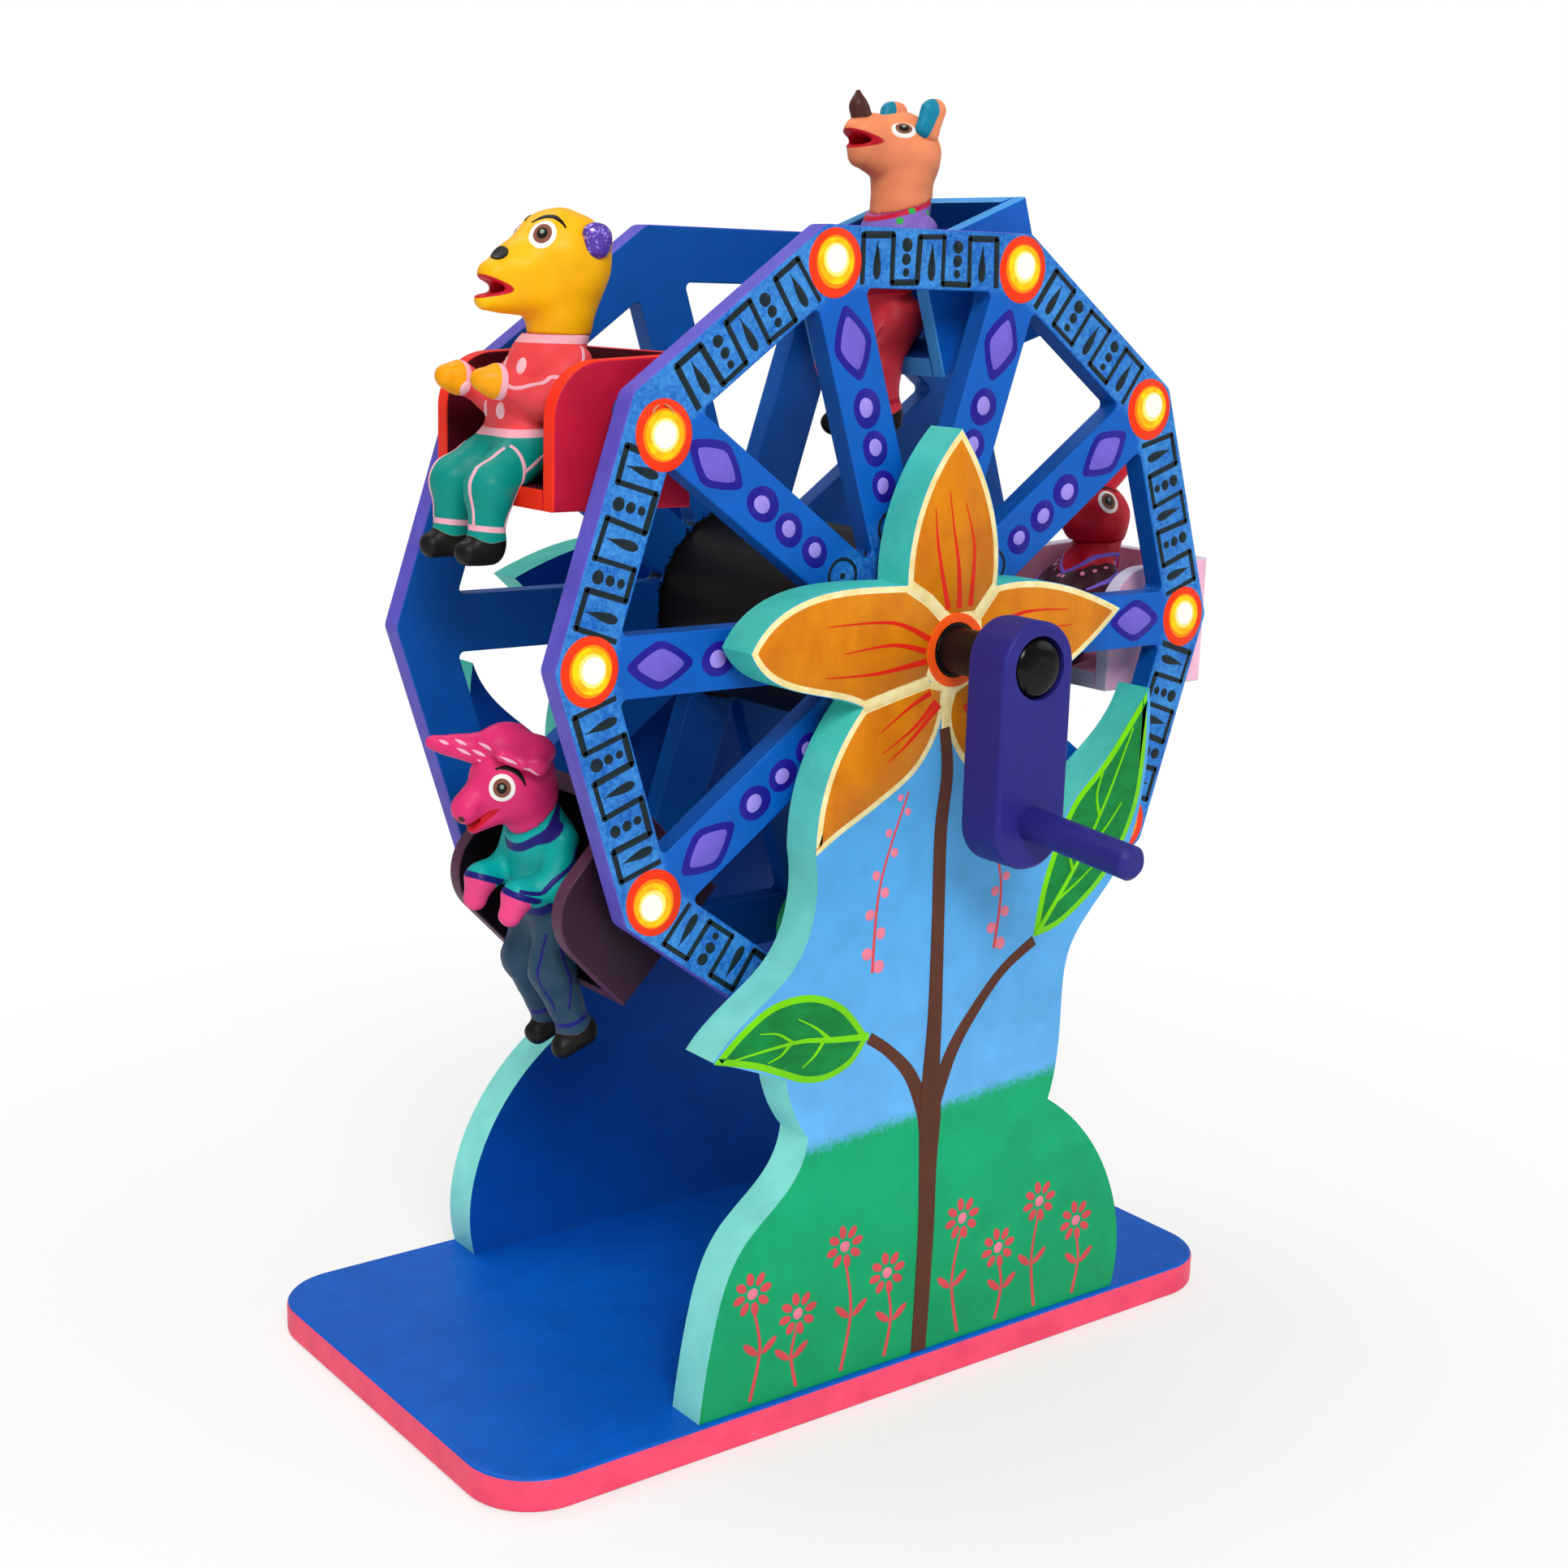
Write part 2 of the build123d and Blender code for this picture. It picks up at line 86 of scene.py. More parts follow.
FRONT_RING_Y = cad_box("front_wheel")[0].y
REAR_RING_Y = cad_box("rear_wheel")[1].y
PANEL_FRONT_Y = cad_box("front_panel")[0].y
PANEL_REAR_Y = cad_box("rear_panel")[1].y
BASE_TOP = cad_box("base_board")[1].z


# ---------------------------------------------------------------- materials
def linear(hexcode):
    """A linear RGBA colour from an sRGB hex value."""
    parts = [int(hexcode[i:i + 2], 16) / 255 for i in (1, 3, 5)]
    return tuple(c / 12.92 if c <= 0.04045 else ((c + 0.055) / 1.055) ** 2.4 for c in parts) + (1,)


def add(tree, kind, inputs=None, **settings):
    """A node with its settings; an input is a value or another node's output socket."""
    made = tree.nodes.new(kind)
    for key, value in settings.items():
        setattr(made, key, value)
    for key, value in (inputs or {}).items():
        if isinstance(value, bpy.types.NodeSocket):
            tree.links.new(value, made.inputs[key])
        else:
            made.inputs[key].default_value = value
    return made


def mix(tree, factor, first, second, blend="MIX"):
    """Colour output between two colours or sockets."""
    inputs = {"Factor": factor, 6: first, 7: second}
    return add(tree, "ShaderNodeMix", inputs, data_type="RGBA", blend_type=blend).outputs[2]


def math_of(tree, operation, first, second=0.0):
    """A sum, product or other function of one or two values."""
    return add(tree, "ShaderNodeMath", {0: first, 1: second}, operation=operation).outputs[0]


def ramp(tree, value, low, high, to_low=0.0, to_high=1.0):
    """A value mapped from one range to another and clamped."""
    inputs = {"Value": value, "From Min": low, "From Max": high, "To Min": to_low,
              "To Max": to_high}
    return add(tree, "ShaderNodeMapRange", inputs).outputs[0]


def mottle(tree, coords, size_mm, detail=3.0, rough=0.55, stretch=(1, 1, 1)):
    """Noise whose blotches are about size_mm across, longer along an axis by stretch."""
    scale = [1 / (size_mm * MM * s) for s in stretch]
    mapped = add(tree, "ShaderNodeMapping", {"Vector": coords, "Scale": scale}).outputs[0]
    inputs = {"Vector": mapped, "Scale": 1.0, "Detail": detail, "Roughness": rough}
    return add(tree, "ShaderNodeTexNoise", inputs).outputs[0]


SHEEN = 0.2                      # matt acrylic reflects less than bare plastic


def acrylic(name, colour, stroke=(1, 1, 9), rough=0.46, bristle_mm=0.9, depth_mm=0.05,
            uneven=0.10, fleck=None):
    """Artists' acrylic brushed on sealed wood: satin, bristle marks along the stroke, and a
    coat that is a little thinner and lighter in places. colour is a hex value or a function
    that makes a colour socket."""
    made = bpy.data.materials.new(name)
    made.use_nodes = True
    tree = made.node_tree
    shader = tree.nodes["Principled BSDF"]
    coords = add(tree, "ShaderNodeTexCoord").outputs["Object"]
    base = colour(tree, coords) if callable(colour) else linear(colour)
    coat = mottle(tree, coords, 11.0, 4.0)
    tone = ramp(tree, coat, 0.3, 0.7, 1 - uneven, 1 + uneven * 0.7)
    grey = add(tree, "ShaderNodeCombineColor", {0: tone, 1: tone, 2: tone}).outputs[0]
    base = mix(tree, 1.0, base, grey, "MULTIPLY")
    bristles = mottle(tree, coords, bristle_mm, 3.0, 0.6, stroke)
    if fleck:
        glint = ramp(tree, mottle(tree, coords, 0.8, 1.0), 0.56, 0.66)
        base = mix(tree, glint, base, linear(fleck))
        tree.links.new(ramp(tree, glint, 0, 1, 0.35, 0.8), shader.inputs["Metallic"])
    tree.links.new(base, shader.inputs["Base Color"])
    shader.inputs["Specular IOR Level"].default_value = SHEEN
    tree.links.new(ramp(tree, bristles, 0.3, 0.7, rough - 0.05, rough + 0.09),
                   shader.inputs["Roughness"])
    height = math_of(tree, "ADD", bristles, math_of(tree, "MULTIPLY", coat, 0.8))
    bump = add(tree, "ShaderNodeBump", {"Height": height, "Strength": 0.5,
                                        "Distance": depth_mm * MM})
    tree.links.new(bump.outputs[0], shader.inputs["Normal"])
    return made


def plated_metal(name, hexcode, rough, scratch_mm):
    """Plated steel: one cool even colour, whose glints are broken up by fine marks."""
    made = bpy.data.materials.new(name)
    made.use_nodes = True
    tree = made.node_tree
    shader = tree.nodes["Principled BSDF"]
    coords = add(tree, "ShaderNodeTexCoord").outputs["Object"]
    marks = mottle(tree, coords, scratch_mm, 4.0, 0.7)
    dark = linear(hexcode)
    light = tuple(min(1, c * 1.25 + 0.01) for c in dark[:3]) + (1,)
    tree.links.new(mix(tree, marks, dark, light), shader.inputs["Base Color"])
    tree.links.new(ramp(tree, marks, 0.3, 0.7, rough * 0.8, rough * 1.2),
                   shader.inputs["Roughness"])
    shader.inputs["Metallic"].default_value = 1.0
    return made


def normal_part(tree, direction):
    """How far the rest-pose surface faces a direction, from -1 to 1."""
    normal = add(tree, "ShaderNodeTexCoord").outputs["Normal"]
    inputs = {0: normal, 1: direction}
    return add(tree, "ShaderNodeVectorMath", inputs, operation="DOT_PRODUCT").outputs["Value"]


def faces(tree, direction, edge=0.7):
    """1 where the surface faces a direction, else 0."""
    return math_of(tree, "GREATER_THAN", normal_part(tree, direction), edge)


def away_from_axle(tree, coords):
    """(x, z) of a point from the axle, in millimetres."""
    parts = add(tree, "ShaderNodeSeparateXYZ", {0: coords})
    x = math_of(tree, "SUBTRACT", math_of(tree, "DIVIDE", parts.outputs[0], MM), AXLE.x)
    z = math_of(tree, "SUBTRACT", math_of(tree, "DIVIDE", parts.outputs[2], MM), AXLE.z)
    return x, z


def sponged(tree, coords, dark, light):
    """Paint dabbed on with a sponge: small open flecks over a darker coat."""
    fine = mottle(tree, coords, SPONGE_FLECK, 5.0, 0.75)
    broad = mottle(tree, coords, 12.0, 2.0)
    cover = math_of(tree, "ADD", fine, math_of(tree, "MULTIPLY", broad, 0.55))
    return mix(tree, ramp(tree, cover, 0.60, 0.98), linear(dark), linear(light))


def wheel_colour(front):
    """Blue board; its outer face has a sponged rim and hub, its outer edge is violet."""
    def colour(tree, coords):
        x, z = away_from_axle(tree, coords)
        radius = math_of(tree, "POWER", math_of(tree, "ADD", math_of(tree, "MULTIPLY", x, x),
                                                math_of(tree, "MULTIPLY", z, z)), 0.5)
        turn = math_of(tree, "DIVIDE", math_of(tree, "ARCTAN2", z, x), math.radians(SECTOR))
        in_sector = math_of(tree, "SUBTRACT", math_of(tree, "FRACT", turn), 0.5)
        off_middle = math_of(tree, "MULTIPLY", in_sector, math.radians(SECTOR))
        apothem = math_of(tree, "MULTIPLY", radius, math_of(tree, "COSINE", off_middle))
        fuzz = math_of(tree, "MULTIPLY", mottle(tree, coords, 1.4, 4.0, 0.7), 5.0)
        rim = ramp(tree, math_of(tree, "ADD", apothem, fuzz), *SPONGED_RIM)
        hub = ramp(tree, math_of(tree, "SUBTRACT", radius, fuzz), *SPONGED_HUB)
        cover = math_of(tree, "MAXIMUM", rim, hub)
        dabbed = sponged(tree, coords, "#0058B4", "#4496E0")
        face = mix(tree, cover, linear("#005CBC"), dabbed)
        outward = (0, -1 if front else 1, 0)
        brushed = math_of(tree, "ADD", radius,
                          math_of(tree, "MULTIPLY", mottle(tree, coords, 3.0, 5.0, 0.8), 9.0))
        spilt = ramp(tree, brushed, *SPILT_BLACK)
        inner = mix(tree, spilt, linear("#0052A8"), linear("#080709"))
        colour_out = mix(tree, faces(tree, outward, 0.5), inner, face)
        is_outer = math_of(tree, "GREATER_THAN", apothem, OUTER_EDGE)
        flat = math_of(tree, "ABSOLUTE", normal_part(tree, (0, 1, 0)))
        side_on = math_of(tree, "LESS_THAN", flat, 0.72)
        violet = mix(tree, mottle(tree, coords, 6.0), linear("#5248BC"), linear("#6A60CC"))
        return mix(tree, math_of(tree, "MULTIPLY", is_outer, side_on), colour_out, violet)
    return colour


def panel_colour(front):
    """Aqua sawn edge, plain blue inside, and sky over a sponged meadow on the outer face."""
    def colour(tree, coords):
        x, z = away_from_axle(tree, coords)
        meadow = mix(tree, mottle(tree, coords, 16.0), linear("#00A066"), linear("#02B07A"))
        meadow_low = mix(tree, ramp(tree, z, *MEADOW_SHADE), meadow, linear("#009C60"))
        sky = mix(tree, ramp(tree, z, *SKY_SHADE), linear("#50A6E4"), linear("#64B2F0"))
        slope = math_of(tree, "MULTIPLY", x, HORIZON_SLOPE if front else -HORIZON_SLOPE)
        fuzz = math_of(tree, "MULTIPLY", mottle(tree, coords, 1.5, 6.0, 0.85), 11.0)
        edge = math_of(tree, "ADD", math_of(tree, "SUBTRACT", z, slope), fuzz)
        face = mix(tree, ramp(tree, edge, *HORIZON), meadow_low, sky)
        pale = mix(tree, mottle(tree, coords, 9.0, 4.0), linear("#7EEADC"), linear("#9CF4EA"))
        teal = mix(tree, mottle(tree, coords, 7.0, 4.0, 0.7, (3, 1, 1)), linear("#2CC4B0"),
                   linear("#62DCCC"))
        sawn = mix(tree, ramp(tree, z, *EDGE_SHADE), pale, teal)
        outward = (0, -1 if front else 1, 0)
        inward = (0, 1 if front else -1, 0)
        result = mix(tree, faces(tree, inward), sawn, linear("#0050AC"))
        return mix(tree, faces(tree, outward), result, face)
    return colour


def base_colour(tree, coords):
    """Blue top, coral edge, bare wood below."""
    coral = mix(tree, mottle(tree, coords, 8.0, 4.0), linear("#F5406C"), linear("#FF5A78"))
    blue = mix(tree, mottle(tree, coords, 30.0), linear("#0056BE"), linear("#0062C8"))
    wood = mix(tree, mottle(tree, coords, 2.0, 4.0, 0.6, (12, 1, 1)), linear("#D8B98C"),
               linear("#C29A66"))
    result = mix(tree, faces(tree, (0, 0, 1), 0.55), coral, blue)
    return mix(tree, faces(tree, (0, 0, -1), 0.8), result, wood)


def lamp_yellow(tree, coords):
    """Yellow streaked into orange where the two were still wet."""
    return mix(tree, ramp(tree, mottle(tree, coords, 5.0, 4.0), 0.42, 0.62), linear("#FFB400"),
               linear("#FFDC00"))


def ochre(tree, coords):
    """Two earth yellows in upright streaks, not quite mixed."""
    return mix(tree, ramp(tree, mottle(tree, coords, 4.0, 4.0, 0.6, (2, 1, 4)), 0.3, 0.7),
               linear("#CC7000"), linear("#DE8600"))


def cream(tree, coords):
    """Warm white, a little yellower in places."""
    return mix(tree, ramp(tree, mottle(tree, coords, 3.0, 4.0), 0.35, 0.65), linear("#F3DC92"),
               linear("#FCEDB4"))


def leaf_green(tree, coords):
    """Deep green, with the brush's streaks running across."""
    return mix(tree, ramp(tree, mottle(tree, coords, 3.0, 4.0, 0.6, (3, 1, 1)), 0.35, 0.65),
               linear("#007632"), linear("#008A3C"))


FILM = {
    # thin lines of artists' acrylic: a touch shinier than the boards below, with rounded edges
    "black": acrylic("acrylic_black_line", "#10242C", rough=0.4),
    "navy": acrylic("acrylic_navy", "#1E1490", rough=0.42),
    "vein_red": acrylic("acrylic_vein_red", "#DE2412", rough=0.42),
    "lime": acrylic("acrylic_lime", "#78D800", rough=0.42),
    # paler colours of the same paint, a little more matt
    "lilac": acrylic("acrylic_lilac", "#7260CE", rough=0.46),
    "pale_lilac": acrylic("acrylic_pale_lilac", "#A08CE8", rough=0.46),
    "coral": acrylic("acrylic_coral", "#D84A50", rough=0.44),
    "pink": acrylic("acrylic_pink", "#F08098", rough=0.44),
    "pale_pink": acrylic("acrylic_pale_pink", "#F4B8CC", rough=0.46),
    # lamps: bright acrylics laid one on another, so that they seem to glow though none is lit
    "lamp_red": acrylic("acrylic_lamp_red", "#FF3608", rough=0.4),
    "lamp_orange": acrylic("acrylic_lamp_orange", "#FF8A00", rough=0.4),
    "lamp_yellow": acrylic("acrylic_lamp_yellow", lamp_yellow, rough=0.4),
    "lamp_cream": acrylic("acrylic_lamp_cream", "#FDEE80", rough=0.4),
    "lamp_white": acrylic("acrylic_lamp_white", "#FBF8EE", rough=0.4, uneven=0.03),
    # bare beech at a dowel's end: dry and dull beside the paint
    "dowel_wood": acrylic("bare_beech_dowel_end", "#C89A68", rough=0.6),
    # flower and leaves: a full coat, with the brush's streaks in its colour
    "ochre": acrylic("acrylic_ochre", ochre, rough=0.46),
    "cream": acrylic("acrylic_cream", cream, rough=0.44),
    "leaf": acrylic("acrylic_leaf_green", leaf_green, rough=0.46),
    "brown": acrylic("acrylic_stem_brown", "#5A3022", rough=0.5),
    "hub_orange": acrylic("acrylic_hub_orange", "#FF5A14", rough=0.4),
    # painted shade: near-black in the gap round the axle, standing for the dark hole where next to
    # no light comes back
    "hub_gap_shade": acrylic("acrylic_hub_gap_shade", "#120D0C", rough=0.5),
    # faces: small smooth dabs, the pupil a little glossier than the white; the glint is a pale dab
    # of painted highlight on each pupil
    "eye_white": acrylic("acrylic_eye_white", "#F8F4EE", rough=0.38, uneven=0.03),
    "iris": acrylic("acrylic_iris_brown", "#84503E", rough=0.38),
    "pupil": acrylic("acrylic_pupil_black", "#15130F", rough=0.3),
    "glint": acrylic("acrylic_eye_glint", "#8C9A8C", rough=0.4),
    # horn and nostrils: dark brown over carved wood, with the brush marks running up
    "horn": acrylic("acrylic_horn_brown", "#4E2820", (1, 1, 5), 0.36),
}


def paint_node(node, material):
    """Give a CAD node its finish."""
    slots = NODES[node].material_slots
    if not slots:
        NODES[node].data.materials.append(material)
    for entry in slots:
        entry.material = material


def paint_stand_and_wheel():
    # full coats on sealed boards: flat bright colour and a satin light, never a sharp reflection
    paint_node("base_board", acrylic("acrylic_base_blue_and_coral", base_colour, (9, 1, 1), 0.42))
    paint_node("front_panel", acrylic("acrylic_front_panel", panel_colour(True), (1, 1, 7)))
    paint_node("rear_panel", acrylic("acrylic_rear_panel", panel_colour(False), (1, 1, 7)))
    paint_node("front_wheel", acrylic("acrylic_front_wheel", wheel_colour(True), (3, 1, 3)))
    paint_node("rear_wheel", acrylic("acrylic_rear_wheel", wheel_colour(False), (3, 1, 3)))
    # black brushed thickly along turned wood: its ridges catch thin lines of light
    black = acrylic("acrylic_black_hub", "#16110F", (1, 7, 1), 0.5, 1.2, 0.12, 0.2)
    for node in ("axle", "hub_drum", "front_washer", "rear_spacer", "rear_collar"):
        paint_node(node, black)
    # violet-blue on the crank: satin, with brush marks along the arm and along the peg
    indigo = acrylic("acrylic_indigo_crank", "#28267E", (1, 1, 8), 0.44, 1.0, 0.07)
    paint_node("crank_arm", indigo)
    paint_node("crank_peg", acrylic("acrylic_indigo_peg", "#28267E", (1, 8, 1), 0.42, 1.2, 0.1))
    low, high = cad_box("axle_button")
    crown = [(BUTTON_RADIUS, high.y)]
    crown += [(BUTTON_RADIUS * math.cos(t) ** 0.5,
               low.y + BUTTON_CROWN - BUTTON_CROWN * math.sin(t))
              for t in np.linspace(0, math.pi / 2 - 0.02, 14)]
    # gloss enamel flowed out over a small crown: near black, with clear reflections
    enamel = acrylic("gloss_black_enamel", "#040404", (1, 1, 1), 0.12, 4.5, 0.3)
    turned("axle_button_crown", crown, enamel, "axle_button", "wheel", "gloss_black")
    # bright zinc on steel: pale cool metal
    paint_node("panel_screws", plated_metal("zinc_plated_steel", "#B4B6BA", 0.34, 0.4))
    # the wheel's blue, brushed along the pegs
    peg_blue = acrylic("acrylic_pivot_peg_blue", "#0A58AE", (1, 6, 1))
    for name in CART_NAMES:
        paint_node(f"{name}_pivot_pegs", peg_blue)


# ---------------------------------------------------------------- painted shapes
def swell(taper, share):
    """A stroke's width at a share of its length: thin ends swell towards the middle."""
    start, end = taper
    if start < 1 and end < 1:
        return max(min(start, end), math.sin(math.pi * share) ** 0.7)
    return start + (end - start) * share


class Coat:
    """Painted shapes of one colour on a flat face: raised films with a soft edge.

    place(x, z, height) turns the face's own millimetres into the row frame."""

    def __init__(self, name, material, place, body, slot):
        self.name, self.material, self.place = name, material, place
        self.body, self.slot = body, slot
        self.mesh = bmesh.new()

    def point(self, x, z, height):
        return self.mesh.verts.new(self.place(x, z, height) * MM)

    def fill(self, outline, thickness=PAINT):
        """A filled closed shape."""
        inner = inset(outline, min(0.25, thickness * 1.5))
        low = [self.point(x, z, 0.0) for x, z in outline]
        high = [self.point(x, z, thickness) for x, z in inner]
        count = len(outline)
        for i in range(count):
            j = (i + 1) % count
            self.mesh.faces.new((low[i], low[j], high[j], high[i]))
        top = self.mesh.faces.new(high)
        bmesh.ops.triangulate(self.mesh, faces=[top])

    def strip(self, rows, closed=False):
        """Join rows of points across a stroke into its surface."""
        for first, second in zip(rows, rows[1:] + ([rows[0]] if closed else [])):
            for k in range(len(first) - 1):
                self.mesh.faces.new((first[k], second[k], second[k + 1], first[k + 1]))
        if not closed:
            self.mesh.faces.new(rows[0])
            self.mesh.faces.new(reversed(rows[-1]))

    def line(self, path, width, closed=False, thickness=PAINT, taper=(1.0, 1.0)):
        """A brushed line. taper gives its width at the start and end, as shares of width."""
        count = len(path)
        rows = []
        for i, (x, z) in enumerate(path):
            before = path[i - 1] if closed or i else path[i]
            after = path[(i + 1) % count] if closed or i < count - 1 else path[i]
            dx, dz = after[0] - before[0], after[1] - before[1]
            length = math.hypot(dx, dz) or 1.0
            nx, nz = -dz / length, dx / length
            half = width / 2 * swell(taper, i / max(1, count - 1))
            rim = min(half * 0.5, 0.2)
            offsets = ((-half, 0), (-half + rim, thickness), (half - rim, thickness), (half, 0))
            rows.append([self.point(x + nx * o, z + nz * o, h) for o, h in offsets])
        self.strip(rows, closed)

    def hug(self, skin, path, width, thickness=PAINT, taper=(1.0, 1.0)):
        """A brushed line on a carved surface, along points near it (row frame, millimetres)."""
        rows = []
        for i, near in enumerate(path):
            ahead = path[min(i + 1, len(path) - 1)] - path[max(i - 1, 0)]
            place, normal = skin(near)
            side = ahead.cross(normal).normalized()
            half = width / 2 * swell(taper, i / max(1, len(path) - 1))
            row = []
            for offset, height in ((-half, 0), (-half * 0.6, thickness), (0, thickness),
                                   (half * 0.6, thickness), (half, 0)):
                spot, facing = skin(place + side * offset)
                row.append(self.mesh.verts.new((spot + facing * height) * MM))
            rows.append(row)
        self.strip(rows)

    def spot(self, skin, near, radius, thickness=PAINT, tall=1.0):
        """A round dab on a carved surface; tall is its height over its width."""
        centre, normal = skin(near)
        right = Vector((0, 0, 1)).cross(normal).normalized()
        rise = normal.cross(right)
        rings = []
        for share, height in ((0.3, 1), (0.6, 1), (0.92, 1), (1.0, 0)):
            ring = []
            for i in range(SPOT_SIDES):
                angle = 2 * math.pi * i / SPOT_SIDES
                u, v = radius * share * math.cos(angle), radius * share * tall * math.sin(angle)
                place, facing = skin(centre + right * u + rise * v)
                ring.append(self.mesh.verts.new((place + facing * height * thickness) * MM))
            rings.append(ring)
        self.mesh.faces.new(rings[0])
        for inner, outer in zip(rings, rings[1:]):
            for i in range(SPOT_SIDES):
                j = (i + 1) % SPOT_SIDES
                self.mesh.faces.new((inner[i], outer[i], outer[j], inner[j]))

    def dot(self, x, z, radius, radius_z=None, turn=0.0, sides=28, wobble=0.03, thickness=PAINT):
        """A round or oval dab."""
        radius_z = radius_z or radius
        phase = hand.uniform(0, 6)
        outline = []
        for i in range(sides):
            angle = 2 * math.pi * i / sides
            grow = 1 + wobble * math.sin(2 * angle + phase) + wobble * 0.5 * math.sin(3 * angle)
            u, v = radius * grow * math.cos(angle), radius_z * grow * math.sin(angle)
            outline.append((x + u * math.cos(turn) - v * math.sin(turn),
                            z + u * math.sin(turn) + v * math.cos(turn)))
        self.fill(outline, thickness)

    def finish(self):
        """Turn the shapes painted so far into a piece."""
        bmesh.ops.recalc_face_normals(self.mesh, faces=self.mesh.faces)
        return keep(self.mesh, self.name, self.material, self.body, self.slot)


def keep(mesh, name, material, body, slot):
    """Turn a bmesh into a piece that rides on a body."""
    data = bpy.data.meshes.new(name)
    mesh.to_mesh(data)
    mesh.free()
    data.materials.append(material)
    data.shade_smooth()
    data.set_sharp_from_angle(angle=math.radians(50))
    piece = bpy.data.objects.new(name, data)
    bpy.context.scene.collection.objects.link(piece)
    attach(piece, body)
    return piece


def turned(name, profile, material, node, body, slot):
    """A piece turned about the axle, through (radius, y) points, in place of a CAD node."""
    mesh = bmesh.new()
    turns = [2 * math.pi * i / TURNED_SIDES for i in range(TURNED_SIDES)]
    rings = [[mesh.verts.new(Vector((AXLE.x + r * math.cos(t), y, AXLE.z + r * math.sin(t))) * MM)
              for t in turns] for r, y in profile]
    for first, second in zip(rings, rings[1:]):
        for i in range(TURNED_SIDES):
            j = (i + 1) % TURNED_SIDES
            mesh.faces.new((first[i], first[j], second[j], second[i]))
    mesh.faces.new(rings[0])
    mesh.faces.new(rings[-1])
    bmesh.ops.recalc_face_normals(mesh, faces=mesh.faces)
    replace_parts(keep(mesh, name, material, body, slot), node)


def area_of(outline):
    """Area inside an outline, negative where it runs clockwise."""
    total = 0.0
    for (x0, z0), (x1, z1) in zip(outline, outline[1:] + outline[:1]):
        total += x0 * z1 - x1 * z0
    return total / 2


def inset(outline, distance):
    """A closed outline moved inwards, with its corners limited."""
    sign = 1 if area_of(outline) > 0 else -1
    result = []
    count = len(outline)
    for i, (x, z) in enumerate(outline):
        bx, bz = outline[i - 1]
        ax, az = outline[(i + 1) % count]
        n1 = Vector((-(z - bz), x - bx)).normalized() if (x, z) != (bx, bz) else Vector((0, 0))
        n2 = Vector((-(az - z), ax - x)).normalized() if (x, z) != (ax, az) else Vector((0, 0))
        middle = n1 + n2
        if middle.length < 1e-6:
            middle = n1
        middle.normalize()
        reach = distance / max(0.4, middle.dot(n1 if n1.length else n2))
        result.append((x + middle.x * reach * sign, z + middle.y * reach * sign))
    return result


def curve_through(points, steps=10):
    """A smooth open line through points (Catmull-Rom)."""
    ends = [points[0]] + list(points) + [points[-1]]
    result = []
    for p0, p1, p2, p3 in zip(ends, ends[1:], ends[2:], ends[3:]):
        for i in range(steps):
            t = i / steps
            result.append(tuple(
                0.5 * (2 * b + (c - a) * t + (2 * a - 5 * b + 4 * c - d) * t * t
                       + (3 * b - a - 3 * c + d) * t ** 3)
                for a, b, c, d in zip(p0, p1, p2, p3)))
    result.append(tuple(points[-1]))
    return result


def on_front(y):
    """Places (x, z from the axle, height) on a face that looks to the front."""
    return lambda x, z, height: Vector((AXLE.x + x, y - height, AXLE.z + z))


def on_rear(y):
    """The same on a face that looks to the back: x runs the other way."""
    return lambda x, z, height: Vector((AXLE.x - x, y + height, AXLE.z + z))


# ---------------------------------------------------------------- ornament of the wheel boards
BULB_RADIUS = 8.9
BAND_OUTER = 109.3               # the wave line runs between these two
BAND_INNER = 97.3
CELL = 9.3                       # one cell of the wave line
LINE = 1.7
DROP_MIDDLE, DROP_HALF, DROP_WIDTH = 102.8, 5.0, 1.95
RIM_DOTS = ((107.0, 1.75), (103.3, 1.5), (99.9, 1.15))       # how far out, and radius
DIAMOND_MIDDLE = 85.8
NAVY_DIAMOND, LILAC_DIAMOND = (6.7, 10.7), (4.6, 7.7)        # half width and half length
SPOKE_OVALS = ((67.5, 4.9), (56.3, 4.5), (45.5, 4.2))        # how far out, and radius
SPOKE_RING_AT, SPOKE_RING = 33.5, 4.6
LAMP_SHARES = (1.0, 0.76, 0.69, 0.5, 0.41)                   # of BULB_RADIUS, outermost first
DOWELS_SEEN = {4: (0.8, -4.6)}   # a lamp painted off its dowel, so that the end shows
DOWEL_RADIUS = 3.1
DOWEL_ARCS = ((0.3, 1.5), (1.9, 2.9))        # the stretches of its edge that show, in radians


def along_ray(angle):
    """Places (across, out) on a ray from the axle, as (x, z)."""
    out_x, out_z = math.cos(angle), math.sin(angle)

    def at(across, out):
        return out_x * out - out_z * across, out_z * out + out_x * across
    return at


